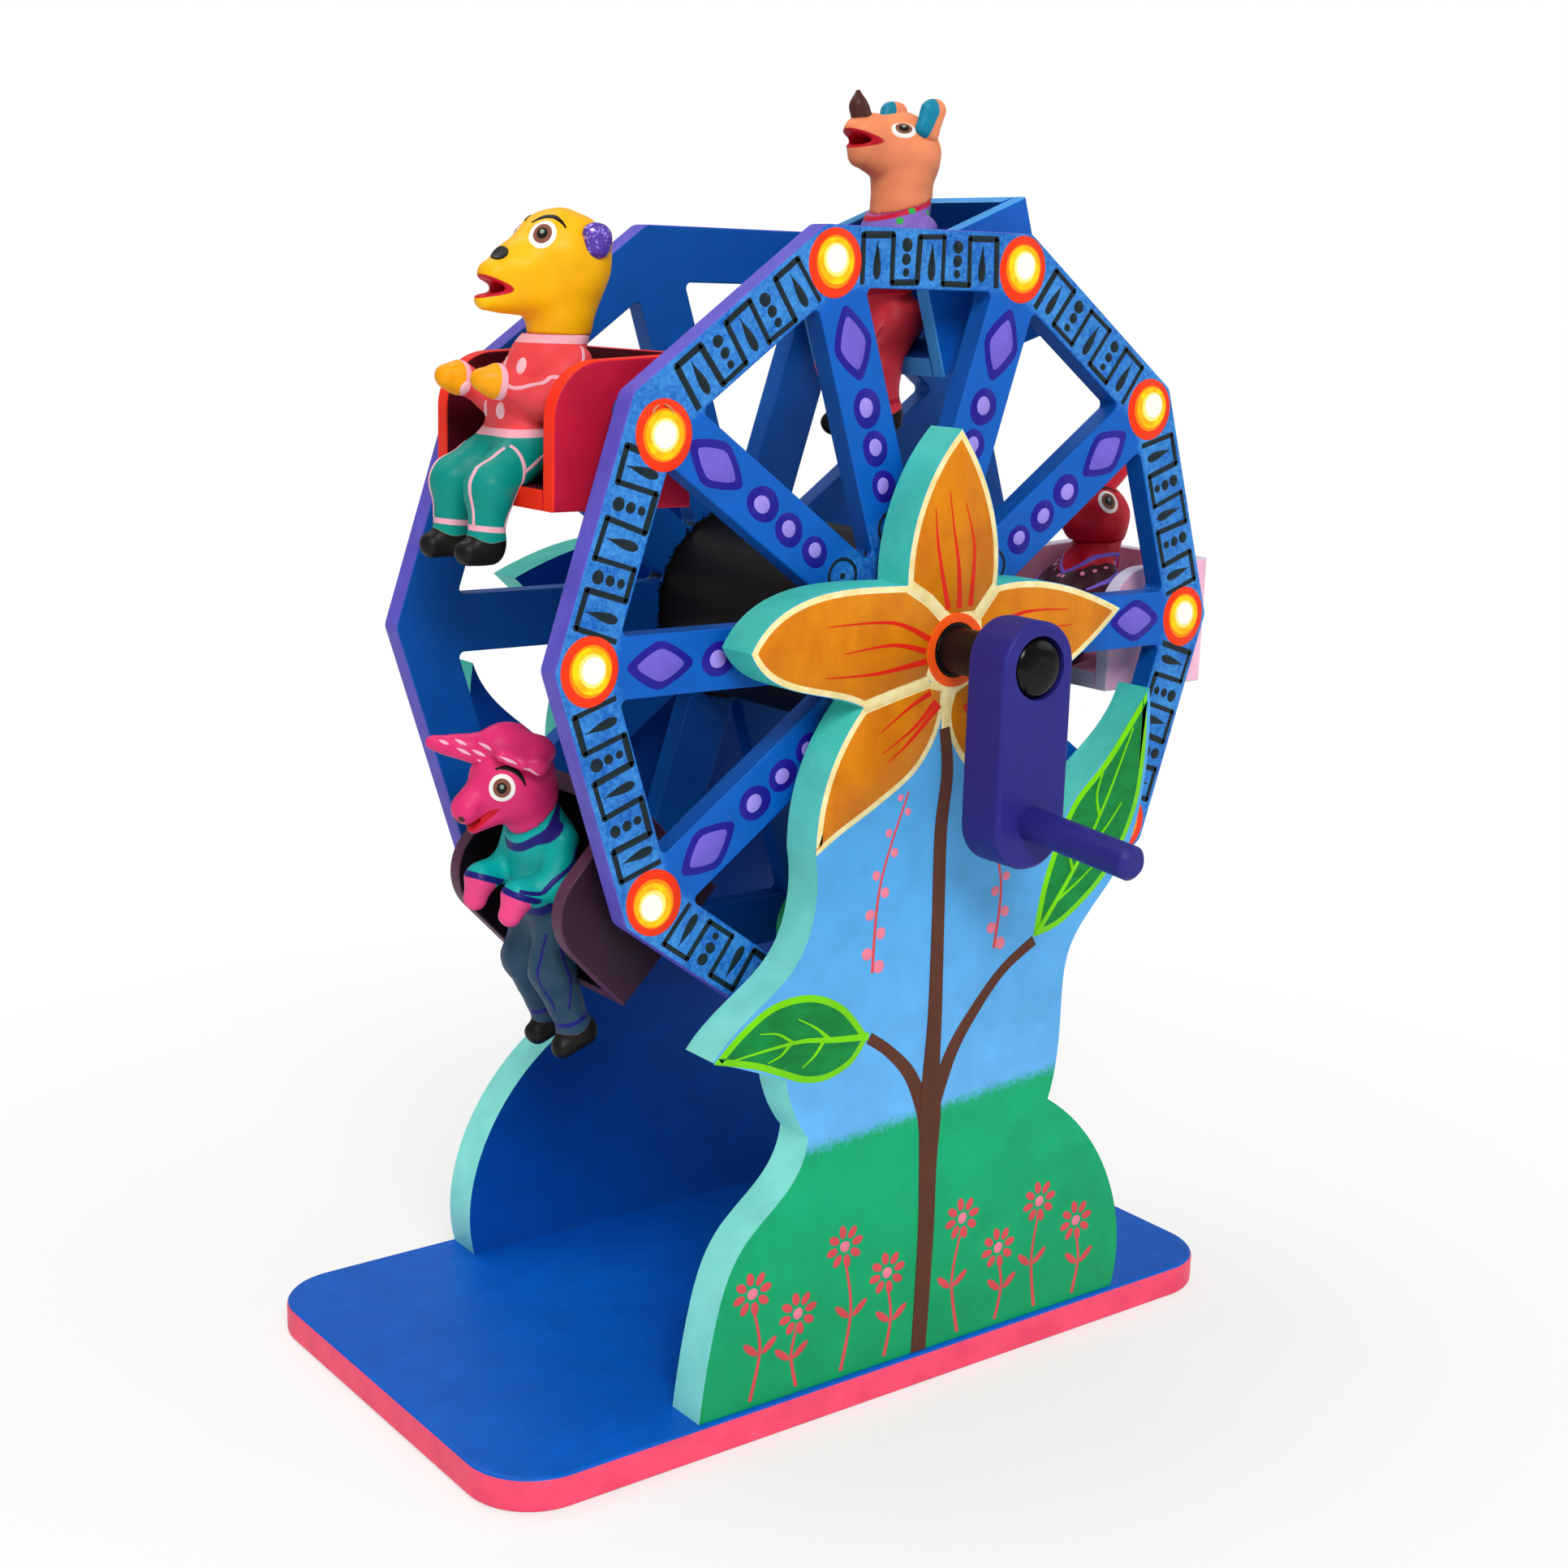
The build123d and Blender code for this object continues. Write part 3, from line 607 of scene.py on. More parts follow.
def paint_rim_segment(lines, k):
    """A square wave of five cells: teardrops in those open inwards, dots in the others."""
    angle = math.radians(SECTOR * (k + 0.5))
    at = along_ray(angle)

    def shaky(value, amount=0.45):
        return value + hand.uniform(-amount, amount)

    edges = [shaky((i - 2.5) * CELL, 0.6) for i in range(6)]
    wave = [at(edges[0] + shaky(0), BAND_INNER - 0.8)]
    for i in range(5):
        level = BAND_OUTER if i % 2 == 0 else BAND_INNER
        wave.append(at(edges[i] + shaky(0, 0.5), shaky(level, 0.25)))
        wave.append(at(edges[i + 1] + shaky(0, 0.5), shaky(level, 0.25)))
    wave.append(at(edges[5] + shaky(0), BAND_INNER - 0.8))
    for start, end in zip(wave, wave[1:]):
        lines.line([start, end], LINE * hand.uniform(0.8, 1.15))
    for corner in wave[1:-1]:
        lines.dot(*corner, LINE * 0.52, sides=12)
    for i in range(5):
        middle = (edges[i] + edges[i + 1]) / 2 + shaky(0, 0.4)
        if i % 2 == 0:
            drop = []
            for step in range(24):
                t = 2 * math.pi * step / 24
                width = DROP_WIDTH * math.sin(t) * math.sin(t / 2) ** 1.6
                drop.append(at(middle + width, DROP_MIDDLE + DROP_HALF * math.cos(t)))
            lines.fill(drop)
        else:
            for row, radius in RIM_DOTS:
                u, v = at(middle + shaky(0, 0.2), row)
                lines.dot(u, v, radius * hand.uniform(0.92, 1.08), turn=angle)


def paint_spoke(lines, navy, lilac, pale, k):
    """A diamond, three ovals and a small ring, from the rim towards the hub."""
    angle = math.radians(SECTOR * k)
    at = along_ray(angle)

    def diamond(half_width, half_length, middle):
        corners = [(0, half_length), (half_width, hand.uniform(-0.6, 0.6)), (0, -half_length),
                   (-half_width, hand.uniform(-0.6, 0.6))]
        outline = []
        for (u0, v0), (u1, v1) in zip(corners, corners[1:] + corners[:1]):
            for t in (0.1, 0.3, 0.5, 0.7, 0.9):
                bow = 1 + 0.13 * math.sin(math.pi * t)
                outline.append(at((u0 + (u1 - u0) * t) * bow, middle + (v0 + (v1 - v0) * t) * bow))
        return outline

    middle = DIAMOND_MIDDLE + hand.uniform(-0.6, 0.6)
    navy.fill(diamond(*NAVY_DIAMOND, middle))
    lilac.fill(diamond(*LILAC_DIAMOND, middle), PAINT * 2)
    for centre, radius in SPOKE_OVALS:
        x, z = at(hand.uniform(-0.4, 0.4), centre)
        navy.dot(x, z, radius * 1.08, radius * 0.96, angle)
        x, z = at(hand.uniform(-0.3, 0.3), centre + 0.3)
        pale.dot(x, z, radius * 0.56, radius * 0.5, angle, thickness=PAINT * 2)
    x, z = at(0, SPOKE_RING_AT)
    ring = [(x + SPOKE_RING * math.cos(t), z + SPOKE_RING * math.sin(t))
            for t in np.linspace(0, 2 * math.pi, 28, endpoint=False)]
    lines.line(ring, 1.0, closed=True)
    lines.dot(x, z, 0.9)


def paint_bulb(rings, wood, k, aside):
    """A painted lamp, pale in the middle and orange-red outside, its rings not quite centred.
    aside is how far the lamp was painted from its dowel; there the dowel's end shows."""
    angle = math.radians(SECTOR * k)
    x, z = PIVOT_CIRCLE * math.cos(angle), PIVOT_CIRCLE * math.sin(angle)
    if aside:
        for start, end in DOWEL_ARCS:
            arc = [(x + DOWEL_RADIUS * math.cos(t), z + DOWEL_RADIUS * math.sin(t))
                   for t in np.linspace(start, end, 9)]
            wood.line(arc, 0.5, thickness=PAINT * 7, taper=(0.4, 0.4))
        x, z = x + aside[0], z + aside[1]
    drift = (hand.uniform(-0.3, 0.3), hand.uniform(-0.3, 0.3))
    for level, (ring, share) in enumerate(zip(rings, LAMP_SHARES)):
        ring.dot(x + drift[0] * level, z + drift[1] * level, BULB_RADIUS * share * 0.97,
                 BULB_RADIUS * share * 1.02, sides=44, wobble=0.015, thickness=PAINT * (level + 2))


def paint_wheel_ornament(side, place):
    """All that is painted on the outer face of a wheel board, a sector at a time."""
    def coat(name, film):
        return Coat(f"{side}_wheel_{name}", FILM[film], place, "wheel", "wheel_paint")

    lines = coat("black_ornament", "black")
    navy = coat("navy_ornament", "navy")
    lilac = coat("lilac_diamonds", "lilac")
    pale = coat("pale_lilac_dots", "pale_lilac")
    rings = [coat(name, name) for name in
             ("lamp_red", "lamp_orange", "lamp_yellow", "lamp_cream", "lamp_white")]
    films = [lines, navy, lilac, pale] + rings
    aside = DOWELS_SEEN if side == "front" else {}
    wood = None
    if aside:
        wood = coat("bare_dowel_ends", "dowel_wood")
        films.append(wood)
    for k in range(10):
        paint_rim_segment(lines, k)
        paint_spoke(lines, navy, lilac, pale, k)
        paint_bulb(rings, wood, k, aside.get(k))
    for film in films:
        film.finish()


# ---------------------------------------------------------------- ornament of the panels
def sawn_outline(node, y):
    """The sawn outline of a board's face at y, as (x, z) from the axle."""
    data = NODES[node].data

    def key(i):
        place = data.vertices[i].co / MM
        return round(place.x, 3), round(place.z, 3)

    flat = {v.index for v in data.vertices if abs(v.co.y / MM - y) < 0.01}
    edges = {}
    for face in data.polygons:
        if all(i in flat for i in face.vertices):
            ring = [key(i) for i in face.vertices]
            for pair in zip(ring, ring[1:] + ring[:1]):
                edges[pair] = True
    following = {a: b for a, b in edges if (b, a) not in edges}
    loops = []
    while following:
        start = next(iter(following))
        loop = [start]
        while loop[-1] in following:
            loop.append(following.pop(loop[-1]))
        loops.append(loop[:-1])
    longest = max(loops, key=len)
    return [(x - AXLE.x, z - AXLE.z) for x, z in longest]


def run_of(outline, start, end):
    """The shorter way round the outline from its point nearest start to the one nearest end."""
    def nearest(place):
        return min(range(len(outline)), key=lambda i: math.dist(outline[i], place))

    i, j = nearest(start), nearest(end)
    count = len(outline)
    forward = [outline[(i + n) % count] for n in range((j - i) % count + 1)]
    backward = [outline[(i - n) % count] for n in range((i - j) % count + 1)]

    def length(path):
        return sum(math.dist(a, b) for a, b in zip(path, path[1:]))
    return min(forward, backward, key=length)


# notches between the petals, and the painted lines from there to the hub
NOTCH_LEFT, NOTCH_TOP, NOTCH_RIGHT = (-31.6, -13.2), (-17.8, 18.6), (14.1, 16.7)
NOTCH_LOW = (33.0, -12.8)
TIP_LOW_LEFT, TIP_LOW_RIGHT = (-46.1, -52.5), (43.9, -53.8)
TO_LEFT = [(-8.9, -8.1), (-21.6, -10.9)]
TO_TOP = [(-3.3, 8.2), (-10.1, 14.1)]
TO_RIGHT = [(7.0, 8.6), (9.8, 11.8)]
TO_LOW = [(8.5, -6.0), (20.0, -9.0)]
EDGE_LOW_LEFT = [(-38.0, -47.5), (-25.7, -41.2), (-13.2, -33.6), (-6.4, -25.2), (-3.3, -16.5),
                 (-2.9, -9.7)]
EDGE_LOW_RIGHT = [(30.0, -48.5), (16.0, -41.5), (5.5, -32.8), (-0.4, -24.7), (-2.3, -17.7),
                  (-0.7, -10.9)]
PETAL_EDGE = 1.7                 # how much of the cream coat shows round a petal
HUB_WEDGE = [(-1.8, -8.5), (-2.2, -16.0), (-2.6, -23.0)]     # cream between the low petals
# the innermost hub ring is near-black, a painted shade for the gap round the axle
HUB_RINGS = ((10.3, 2.6), (8.9, 2.8), (7.0, 1.2))            # radius and width, outermost first
VEINS = [  # three strokes of red in each petal, starting near the hub
    [(0.6, 11.5), (-0.2, 22.4), (-2.6, 33.4), (-4.6, 43.3)],
    [(-3.4, 11.4), (-7.8, 28.2), (-9.4, 39.1)],
    [(4.6, 11.8), (5.1, 27.6), (1.4, 39.8)],
    [(-9.5, 3.6), (-22.6, 8.9), (-44.6, 9.3)],
    [(-10.8, 0.4), (-22.3, 2.9), (-38.8, 1.7)],
    [(-10.4, -2.4), (-27.5, -4.4), (-44.7, -4.3)],
    [(-8.4, -11.2), (-15.7, -14.6), (-25.4, -20.6)],
    [(-6.4, -13.6), (-14.0, -20.5), (-24.4, -26.4)],
    [(-5.0, -14.8), (-15.0, -23.9), (-22.6, -29.2)],
    [(11.5, 4.8), (25.0, 8.8), (41.6, 8.6)],
    [(11.5, 1.5), (24.0, 3.6), (43.5, 4.0)],
    [(11.0, -2.0), (24.0, -2.6), (37.0, -2.4)],
    [(8.0, -11.5), (16.5, -16.8), (27.0, -22.0)],
    [(6.0, -13.8), (14.0, -22.0), (25.5, -30.0)],
    [(4.2, -15.5), (11.0, -25.5), (21.0, -34.5)],
]
LEFT_LEAF = [(-77.9, -104.4), (-69.3, -97.0), (-58.6, -91.2), (-45.9, -90.7), (-34.5, -95.9),
             (-25.4, -106.4), (-30.9, -113.0), (-39.3, -116.1), (-47.7, -115.4),
             (-56.1, -111.9), (-64.3, -108.4)]
RIGHT_LEAF = [(35.2, -87.2), (38.7, -69.4), (47.9, -49.4), (61.2, -36.6), (76.2, -18.2),
              (77.0, -36.1), (74.2, -54.4), (64.0, -71.7), (47.2, -84.1)]
LEAF_VEINS = [
    ([(-25.6, -106.2), (-38.4, -104.8), (-48.2, -103.3), (-59.1, -103.5), (-73.7, -104.6)], 1.7),
    ([(-39.5, -104.4), (-44.0, -100.5), (-50.5, -96.6)], 1.2),
    ([(-51.7, -103.3), (-57.0, -99.8), (-63.3, -98.6)], 1.0),
    ([(-41.5, -104.6), (-44.5, -108.2), (-48.6, -110.9)], 1.1),
    ([(-53.0, -103.4), (-56.0, -106.0), (-60.3, -107.3)], 1.0),
    ([(36.2, -86.4), (50.8, -67.4), (61.0, -50.3), (71.0, -28.4)], 1.4),
    ([(43.4, -77.4), (52.0, -72.5), (59.5, -67.3)], 0.9),
    ([(49.5, -69.2), (47.6, -62.5), (48.6, -56.3)], 0.9),
    ([(53.5, -63.0), (61.0, -58.5), (68.0, -50.6)], 0.9),
    ([(59.0, -53.8), (57.5, -47.0), (59.5, -40.5)], 0.9),
]
LEFT_LEAF_TIP, RIGHT_LEAF_TIP = 5, 4         # the number of the point at each leaf's other tip
LEAF_EDGE = 1.8                  # how much of the lime coat shows round a leaf
# stem and branches as (x, z, width), from the top down
STEM = [(-2.6, -21.5, 3.6), (-0.9, -34, 4.2), (-2.3, -51, 4.5), (-1.8, -77, 4.6),
        (-1.4, -104, 5.2), (-1.8, -122, 6.4), (-1.5, -134, 8.0), (-1.5, -150, 6.6),
        (-1.1, -172, 6.0), (-2.0, -207.2, 5.6)]
BRANCHES = [
    [(35.6, -88.2, 3.4), (23.8, -95.2, 3.2), (13.5, -105.7, 3.8), (5.7, -116.4, 4.6),
     (-0.3, -131.0, 5.4)],
    [(-25.2, -106.8, 3.4), (-17.9, -112.0, 3.4), (-10.0, -120.1, 4.2), (-4.6, -131.0, 5.0),
     (-2.8, -139.0, 5.0)],
]
SPRIGS = [(-63, 34, 3), (-47, 24, -2), (-31, 40, 3), (-15, 28, 2), (13, 38, -3), (28, 25, 2),
          (44, 36, -2), (60, 26, 2)]         # x, height and lean of each sprig in the meadow
GARLANDS = [((-14.5, -38.0), (-25.0, -88.0), -3.5, 10),      # start, end, sag, berries
            ((16.0, -50.0), (20.0, -88.0), 3.5, 8)]


def wide_stroke(coat, path, thickness):
    """A stroke through (x, z, width) points."""
    centre = curve_through([(x, z) for x, z, _ in path], 6)
    widths = [width for width, _ in curve_through([(w, 0) for _, _, w in path], 6)]
    rows = []
    for i, (x, z) in enumerate(centre):
        a, b = centre[max(i - 1, 0)], centre[min(i + 1, len(centre) - 1)]
        length = math.dist(a, b) or 1
        nx, nz = -(b[1] - a[1]) / length, (b[0] - a[0]) / length
        half = widths[i] / 2
        rows.append([coat.point(x + nx * o, z + nz * o, h)
                     for o, h in ((-half, 0), (0.2 - half, thickness), (half - 0.2, thickness),
                                  (half, 0))])
    coat.strip(rows)


def paint_sprig(coral, pink, x, height, lean):
    """A daisy on a stalk: a ring of dabs round a dot, and a pair of leaves."""
    foot = -(AXLE.z - BASE_TOP)
    top = foot + height
    stalk = curve_through([(x, foot + 2), (x + lean, foot + height * 0.5), (x, top - 3)], 8)
    coral.line(stalk, 1.3, thickness=PAINT * 0.6, taper=(1.0, 0.6))
    for side in (-1, 1):
        coral.dot(x + lean + side * 3.2, foot + height * 0.45 + 2, 3.2, 1.1, side * 0.7)
    for k in range(8):
        angle = math.pi / 4 * k + 0.2
        coral.dot(x + 4.6 * math.cos(angle), top + 4.6 * math.sin(angle), 2.0, 1.25, angle)
    pink.dot(x, top, 1.7, thickness=PAINT * 2)


def paint_garland(coral, pink, start, end, sag, count):
    """A hanging thread of berries from one point to another."""
    middle = ((start[0] + end[0]) / 2 + sag, (start[1] + end[1]) / 2)
    thread = curve_through([start, middle, end], 10)
    coral.line(thread, 1.1, taper=(0.6, 1.0))
    for k in range(count):
        x, z = thread[int((k + 0.6) * (len(thread) - 1) / count)]
        side = 2.2 if k % 2 else -2.2
        pink.dot(x + side, z, 1.0 + 1.0 * k / count, thickness=PAINT * 1.6)


def paint_petals(border, petal, veins):
    """Five ochre petals edged in cream, with cream in the notches between them, and red veins."""
    outline = sawn_outline("front_panel", PANEL_FRONT_Y)
    low_left = curve_through([TIP_LOW_LEFT] + EDGE_LOW_LEFT, 6)
    low_right = curve_through([TIP_LOW_RIGHT] + EDGE_LOW_RIGHT, 6)
    shapes = [
        run_of(outline, NOTCH_LEFT, NOTCH_TOP) + TO_TOP[::-1] + TO_LEFT,
        run_of(outline, NOTCH_TOP, NOTCH_RIGHT) + TO_RIGHT[::-1] + TO_TOP,
        run_of(outline, NOTCH_RIGHT, NOTCH_LOW) + TO_LOW[::-1] + TO_RIGHT,
        run_of(outline, NOTCH_LOW, TIP_LOW_RIGHT) + low_right[1:] + TO_LOW,
        run_of(outline, NOTCH_LEFT, TIP_LOW_LEFT) + low_left[1:] + TO_LEFT,
    ]
    for shape in shapes:
        border.fill(inset(shape, 0.15))
        petal.fill(inset(shape, PETAL_EDGE), PAINT * 2)
    for notch, inward in ((NOTCH_LEFT, TO_LEFT), (NOTCH_TOP, TO_TOP), (NOTCH_RIGHT, TO_RIGHT),
                          (NOTCH_LOW, TO_LOW)):
        border.line([notch] + inward[::-1], 3.2, thickness=PAINT * 1.5)
    border.line(HUB_WEDGE, 4.4, thickness=PAINT * 1.3, taper=(1.0, 0.5))
    for vein in VEINS:
        veins.line(curve_through(vein, 8), 2.1, thickness=PAINT * 3, taper=(1.0, 0.15))


def paint_leaves(lime, green):
    """Two green leaves with a lime edge and lime veins."""
    for leaf, tip in ((LEFT_LEAF, LEFT_LEAF_TIP), (RIGHT_LEAF, RIGHT_LEAF_TIP)):
        first = curve_through(leaf[:tip + 1], 6)
        second = curve_through(leaf[tip:] + leaf[:1], 6)
        shape = first[:-1] + second[:-1]
        lime.fill(shape, PAINT * 1.5)
        green.fill(inset(shape, LEAF_EDGE), PAINT * 2.5)
    for number, (vein, width) in enumerate(LEAF_VEINS):
        lime.line(curve_through(vein, 6), width * 1.4, thickness=PAINT * (3.2 + 0.3 * number),
                  taper=(1.0, 0.3))


def paint_hub(*films):
    """Cream, orange and dark rings round the axle; the dark one is painted shade in the gap round
    it.
    """
    turns = np.linspace(0, 2 * math.pi, 48, endpoint=False)
    for film, (radius, width), layers in zip(films, HUB_RINGS, (1.2, 4, 3)):
        ring = [(radius * math.cos(t), radius * math.sin(t)) for t in turns]
        film.line(ring, width, closed=True, thickness=PAINT * layers)


def paint_panel_ornament(side, place):
    """All that is painted on a panel's outer face over its sky and meadow."""
    def coat(name, film):
        return Coat(f"{side}_panel_{name}", FILM[film], place, "stand", "panel_paint")

    border, petal = coat("cream_petal_edges", "cream"), coat("ochre_petals", "ochre")
    veins, stem = coat("red_veins", "vein_red"), coat("brown_stem", "brown")
    lime, green = coat("lime_leaf_edges", "lime"), coat("green_leaves", "leaf")
    # the hub gap coat is a near-black ring of painted shade round the axle
    ring, gap = coat("orange_hub_ring", "hub_orange"), coat("hub_gap_painted_shade", "hub_gap_shade")
    coral, pink = coat("coral_sprigs", "coral"), coat("pink_berries", "pink")
    paint_petals(border, petal, veins)
    for number, path in enumerate([STEM] + BRANCHES):
        wide_stroke(stem, path, PAINT * (3 - number))
    paint_leaves(lime, green)
    paint_hub(border, ring, gap)
    for sprig in SPRIGS:
        paint_sprig(coral, pink, *sprig)
    for garland in GARLANDS:
        paint_garland(coral, pink, *garland)
    for film in (border, petal, veins, stem, lime, green, ring, gap, coral, pink):
        film.finish()


# ---------------------------------------------------------------- carts
# the inside colours are darker copies of the outer ones: painted shade inside the carts
CARTS = {  # edges, outer faces, inside
    "red": ("#FA2C0C", "#B81434", "#4A0616"),
    "blue": ("#3F98DE", "#0056B4", "#003C88"),
    "maroon": ("#57304A", "#30192A", "#120810"),
    "pink": ("#CFC8D8", "#F0B4CC", "#C07E9C"),
    "green": ("#38C070", "#1B9450", "#0B5A30"),
}


def seat_frame(cart):
    """The rider's frame: from the middle of the seat's front edge, x back, z up from the seat."""
    data = NODES[f"{cart}_cart_seat"].data
    points = np.array([tuple(v.co) for v in data.vertices]) / MM
    flat = np.unique(np.round(points[:, (0, 2)], 2), axis=0)
    centre = flat.mean(axis=0)
    _, axes = np.linalg.eigh(np.cov((flat - centre).T))
    back = axes[:, 1] * (1 if axes[0, 1] > 0 else -1)
    up = np.array((-back[1], back[0]))
    reach, rise = (flat - centre) @ back, (flat - centre) @ up
    corner = centre + back * reach.min() + up * rise.max()
    middle = (points[:, 1].min() + points[:, 1].max()) / 2
    return Matrix(((back[0], 0, up[0], corner[0]), (0, 1, 0, middle),
                   (back[1], 0, up[1], corner[1]), (0, 0, 0, 1)))


def board_colour(cart, edges, outsides, shaded_insides):
    """A cart board: its edges, and the faces that look out of and into the cart; those into the
    cart take the darker inside colour, a painted shade.
    """
    edge, outer, inner = CARTS[cart]

    def colour(tree, coords):
        def shade(hexcode, amount):
            light = tuple(min(1, c * amount) for c in linear(hexcode)[:3]) + (1,)
            return mix(tree, mottle(tree, coords, 8.0, 3.0), linear(hexcode), light)
        result = shade(outer, 1.25)
        for direction in edges:
            result = mix(tree, faces(tree, direction, 0.35), result, shade(edge, 1.12))
        for direction in outsides:
            result = mix(tree, faces(tree, direction, 0.8), result, shade(outer, 1.25))
        for direction in shaded_insides:
            result = mix(tree, faces(tree, direction, 0.8), result, shade(inner, 1.4))
        return result
    return colour


def paint_carts():
    """Satin acrylic on thin boards, with another colour on the edges and a deeper one inside, which
    is painted shade.
    """
    for cart in CART_NAMES:
        turn = SEATS[cart].to_3x3()
        back, up = turn.col[0], turn.col[2]
        near, far = Vector((0, -1, 0)), Vector((0, 1, 0))
        rim = (back, -back, up, -up)
        boards = {
            "near_side": (rim, (near,), (far,)),
            "far_side": (rim, (far,), (near,)),
            "seat": ((-back,), (-up,), (up,)),
            "back": ((up, -up), (back,), (-back,)),
        }
        for part, (edges, outsides, shaded_insides) in boards.items():
            paint_node(f"{cart}_cart_{part}",
                       acrylic(f"acrylic_{cart}_cart_{part}",
                               board_colour(cart, edges, outsides, shaded_insides), (4, 4, 1), 0.44))


SEATS = {cart: seat_frame(cart) for cart in CART_NAMES}


# ---------------------------------------------------------------- carved riders
# A rider is modelled in its seat's frame, in millimetres: x back from the seat's front edge, y
# from the middle, z up from the seat. A shape is (zone, start, radius, end, radius, widening along
# y); one that starts off the middle is carved on both sides, unless its zone is "lone". Shapes in
# the zones of PAINT_ONLY are bands of paint round a limb: (zone, centre, limb's reach, a point
# along the limb, half the band's width, a widening that isn't used).
PAINT_ONLY = ("trim", "bib")
CARVE_STEP = 0.6
FINE_STEP = 0.35                 # for ears and horn
CARVE_MARGIN = 2.5               # the shapes swell a little where they blend
LIMB_BLEND = 3.0                 # how softly limbs run into one another
LIP_BLEND = 0.7                  # how sharp the cut of a mouth is
LIP_WIDTH = 0.85                 # how far the mouth's colour comes out over its edge
KNIFE_WAVE = 0.16                # the knife's slight unevenness
NECK = 38.0                      # height of the joint between body and head


def limb_distance(points, start, start_radius, end, end_radius, wide):
    """Distance to a tapered limb, negative inside."""
    start, axis = np.array(start, float), np.subtract(end, start).astype(float)
    moved = points - start
    moved[:, 1] /= wide
    share = np.clip(moved @ axis / max(axis @ axis, 1e-9), 0, 1)
    return (np.linalg.norm(moved - share[:, None] * axis, axis=1)
            - (start_radius + (end_radius - start_radius) * share))


def band_distance(points, centre, reach, ahead, half_width, _):
    """How far points are outside a painted band round a limb: reach is the limb's own."""
    axis = np.subtract(ahead, centre) / np.linalg.norm(np.subtract(ahead, centre))
    moved = points - np.array(centre, float)
    along = moved @ axis
    aside = np.linalg.norm(moved - along[:, None] * axis, axis=1)
    return np.maximum(np.abs(along) - half_width, aside - reach)


def both_sides(shapes):
    """Shapes off the middle, with their mirror images."""
    for shape in shapes:
        yield shape
        zone, start, start_radius, end, end_radius, wide = shape
        if start[1] and zone != "lone":
            yield (zone, (start[0], -start[1], start[2]), start_radius,
                   (end[0], -end[1], end[2]), end_radius, wide)


def blended(first, second, soft):
    """The smaller of two distances, rounded where they meet."""
    near = np.maximum(soft - np.abs(first - second), 0) / soft
    return np.minimum(first, second) - near * near * soft / 4


def form_distance(points, shapes, clip, belt=None):
    """Distance to the whole form, and to each of its zones. belt is a point on the line between
    shirt and trousers, and a point below it."""
    whole, zones, hollow = np.full(len(points), 1e3), {}, np.full(len(points), 1e3)
    for zone, *numbers in both_sides(shapes):
        if zone in PAINT_ONLY:
            zones[zone] = np.minimum(zones.get(zone, 1e3), band_distance(points, *numbers))
            continue
        distance = limb_distance(points, *numbers)
        if zone == "mouth":
            hollow = np.minimum(hollow, distance)
            continue
        zones[zone] = np.minimum(zones.get(zone, 1e3), distance)
        whole = blended(whole, distance, LIMB_BLEND)
    x, y, z = points.T
    whole = whole + KNIFE_WAVE * np.sin(0.55 * x + 0.3 * z) * np.sin(0.6 * y + 0.5 * z + 1)
    whole = np.maximum(whole, clip(x, y, z))
    if hollow.min() < 1e3:
        whole = -blended(-whole, hollow, LIP_BLEND)
        zones["mouth"] = hollow
    if belt is not None:
        axis = np.subtract(*belt) / np.linalg.norm(np.subtract(*belt))
        above = (points - belt[0]) @ axis
        zones["trousers"] = zones["trousers"] + 12 * np.maximum(above, 0)
        zones["shirt"] = zones["shirt"] + 12 * np.maximum(-above, 0)
    return whole, zones


def carved(name, shapes, clip, material, cart, nodes, step=CARVE_STEP, belt=None):
    """Carve shapes into one piece that takes the place of CAD nodes. Returns a function from a
    point to the nearest place on its surface and the way that faces."""
    ends = [np.add(p, s * r * w) for _, a, ra, b, rb, w in both_sides(shapes)
            for p, r in ((a, ra), (b, rb)) for s in (-1, 1)]
    low, high = np.min(ends, axis=0) - CARVE_MARGIN, np.max(ends, axis=0) + CARVE_MARGIN
    axes = [np.arange(lo, hi, step) for lo, hi in zip(low, high)]
    grid = np.stack(np.meshgrid(*axes, indexing="ij"), axis=-1)
    values = form_distance(grid.reshape(-1, 3), shapes, clip)[0].reshape(grid.shape[:3])
    points, quads = surface_of(values)
    points = points * step + low
    _, zones = form_distance(points, shapes, clip, belt)

    seat = SEATS[cart]
    turn = np.array(seat.to_3x3())
    placed = points @ turn.T + np.array(seat.translation)
    data = bpy.data.meshes.new(name)
    data.from_pydata((placed * MM).tolist(), [], quads.tolist())
    for zone in zones:
        others = [zones[z] for z in zones if z not in (zone, "mouth", *PAINT_ONLY)]
        if zone == "mouth":
            values = LIP_WIDTH - zones[zone]
        elif zone in PAINT_ONLY:
            values = -zones[zone]
        else:
            values = (np.min(others, axis=0) if others else 9.0) - zones[zone]
        data.attributes.new(zone, "FLOAT", "POINT").data.foreach_set(
            "value", np.asarray(values, dtype=np.float32) * np.ones(len(points), np.float32))
    data.materials.append(material)
    data.shade_smooth()
    piece = bpy.data.objects.new(name, data)
    bpy.context.scene.collection.objects.link(piece)
    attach(piece, f"{cart}_cart")
    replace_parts(piece, *nodes)
    tree = BVHTree.FromPolygons([Vector(p) for p in placed], quads.tolist())

    def skin(place):
        spot, normal, _, _ = tree.find_nearest(place)
        return spot, normal
    return skin


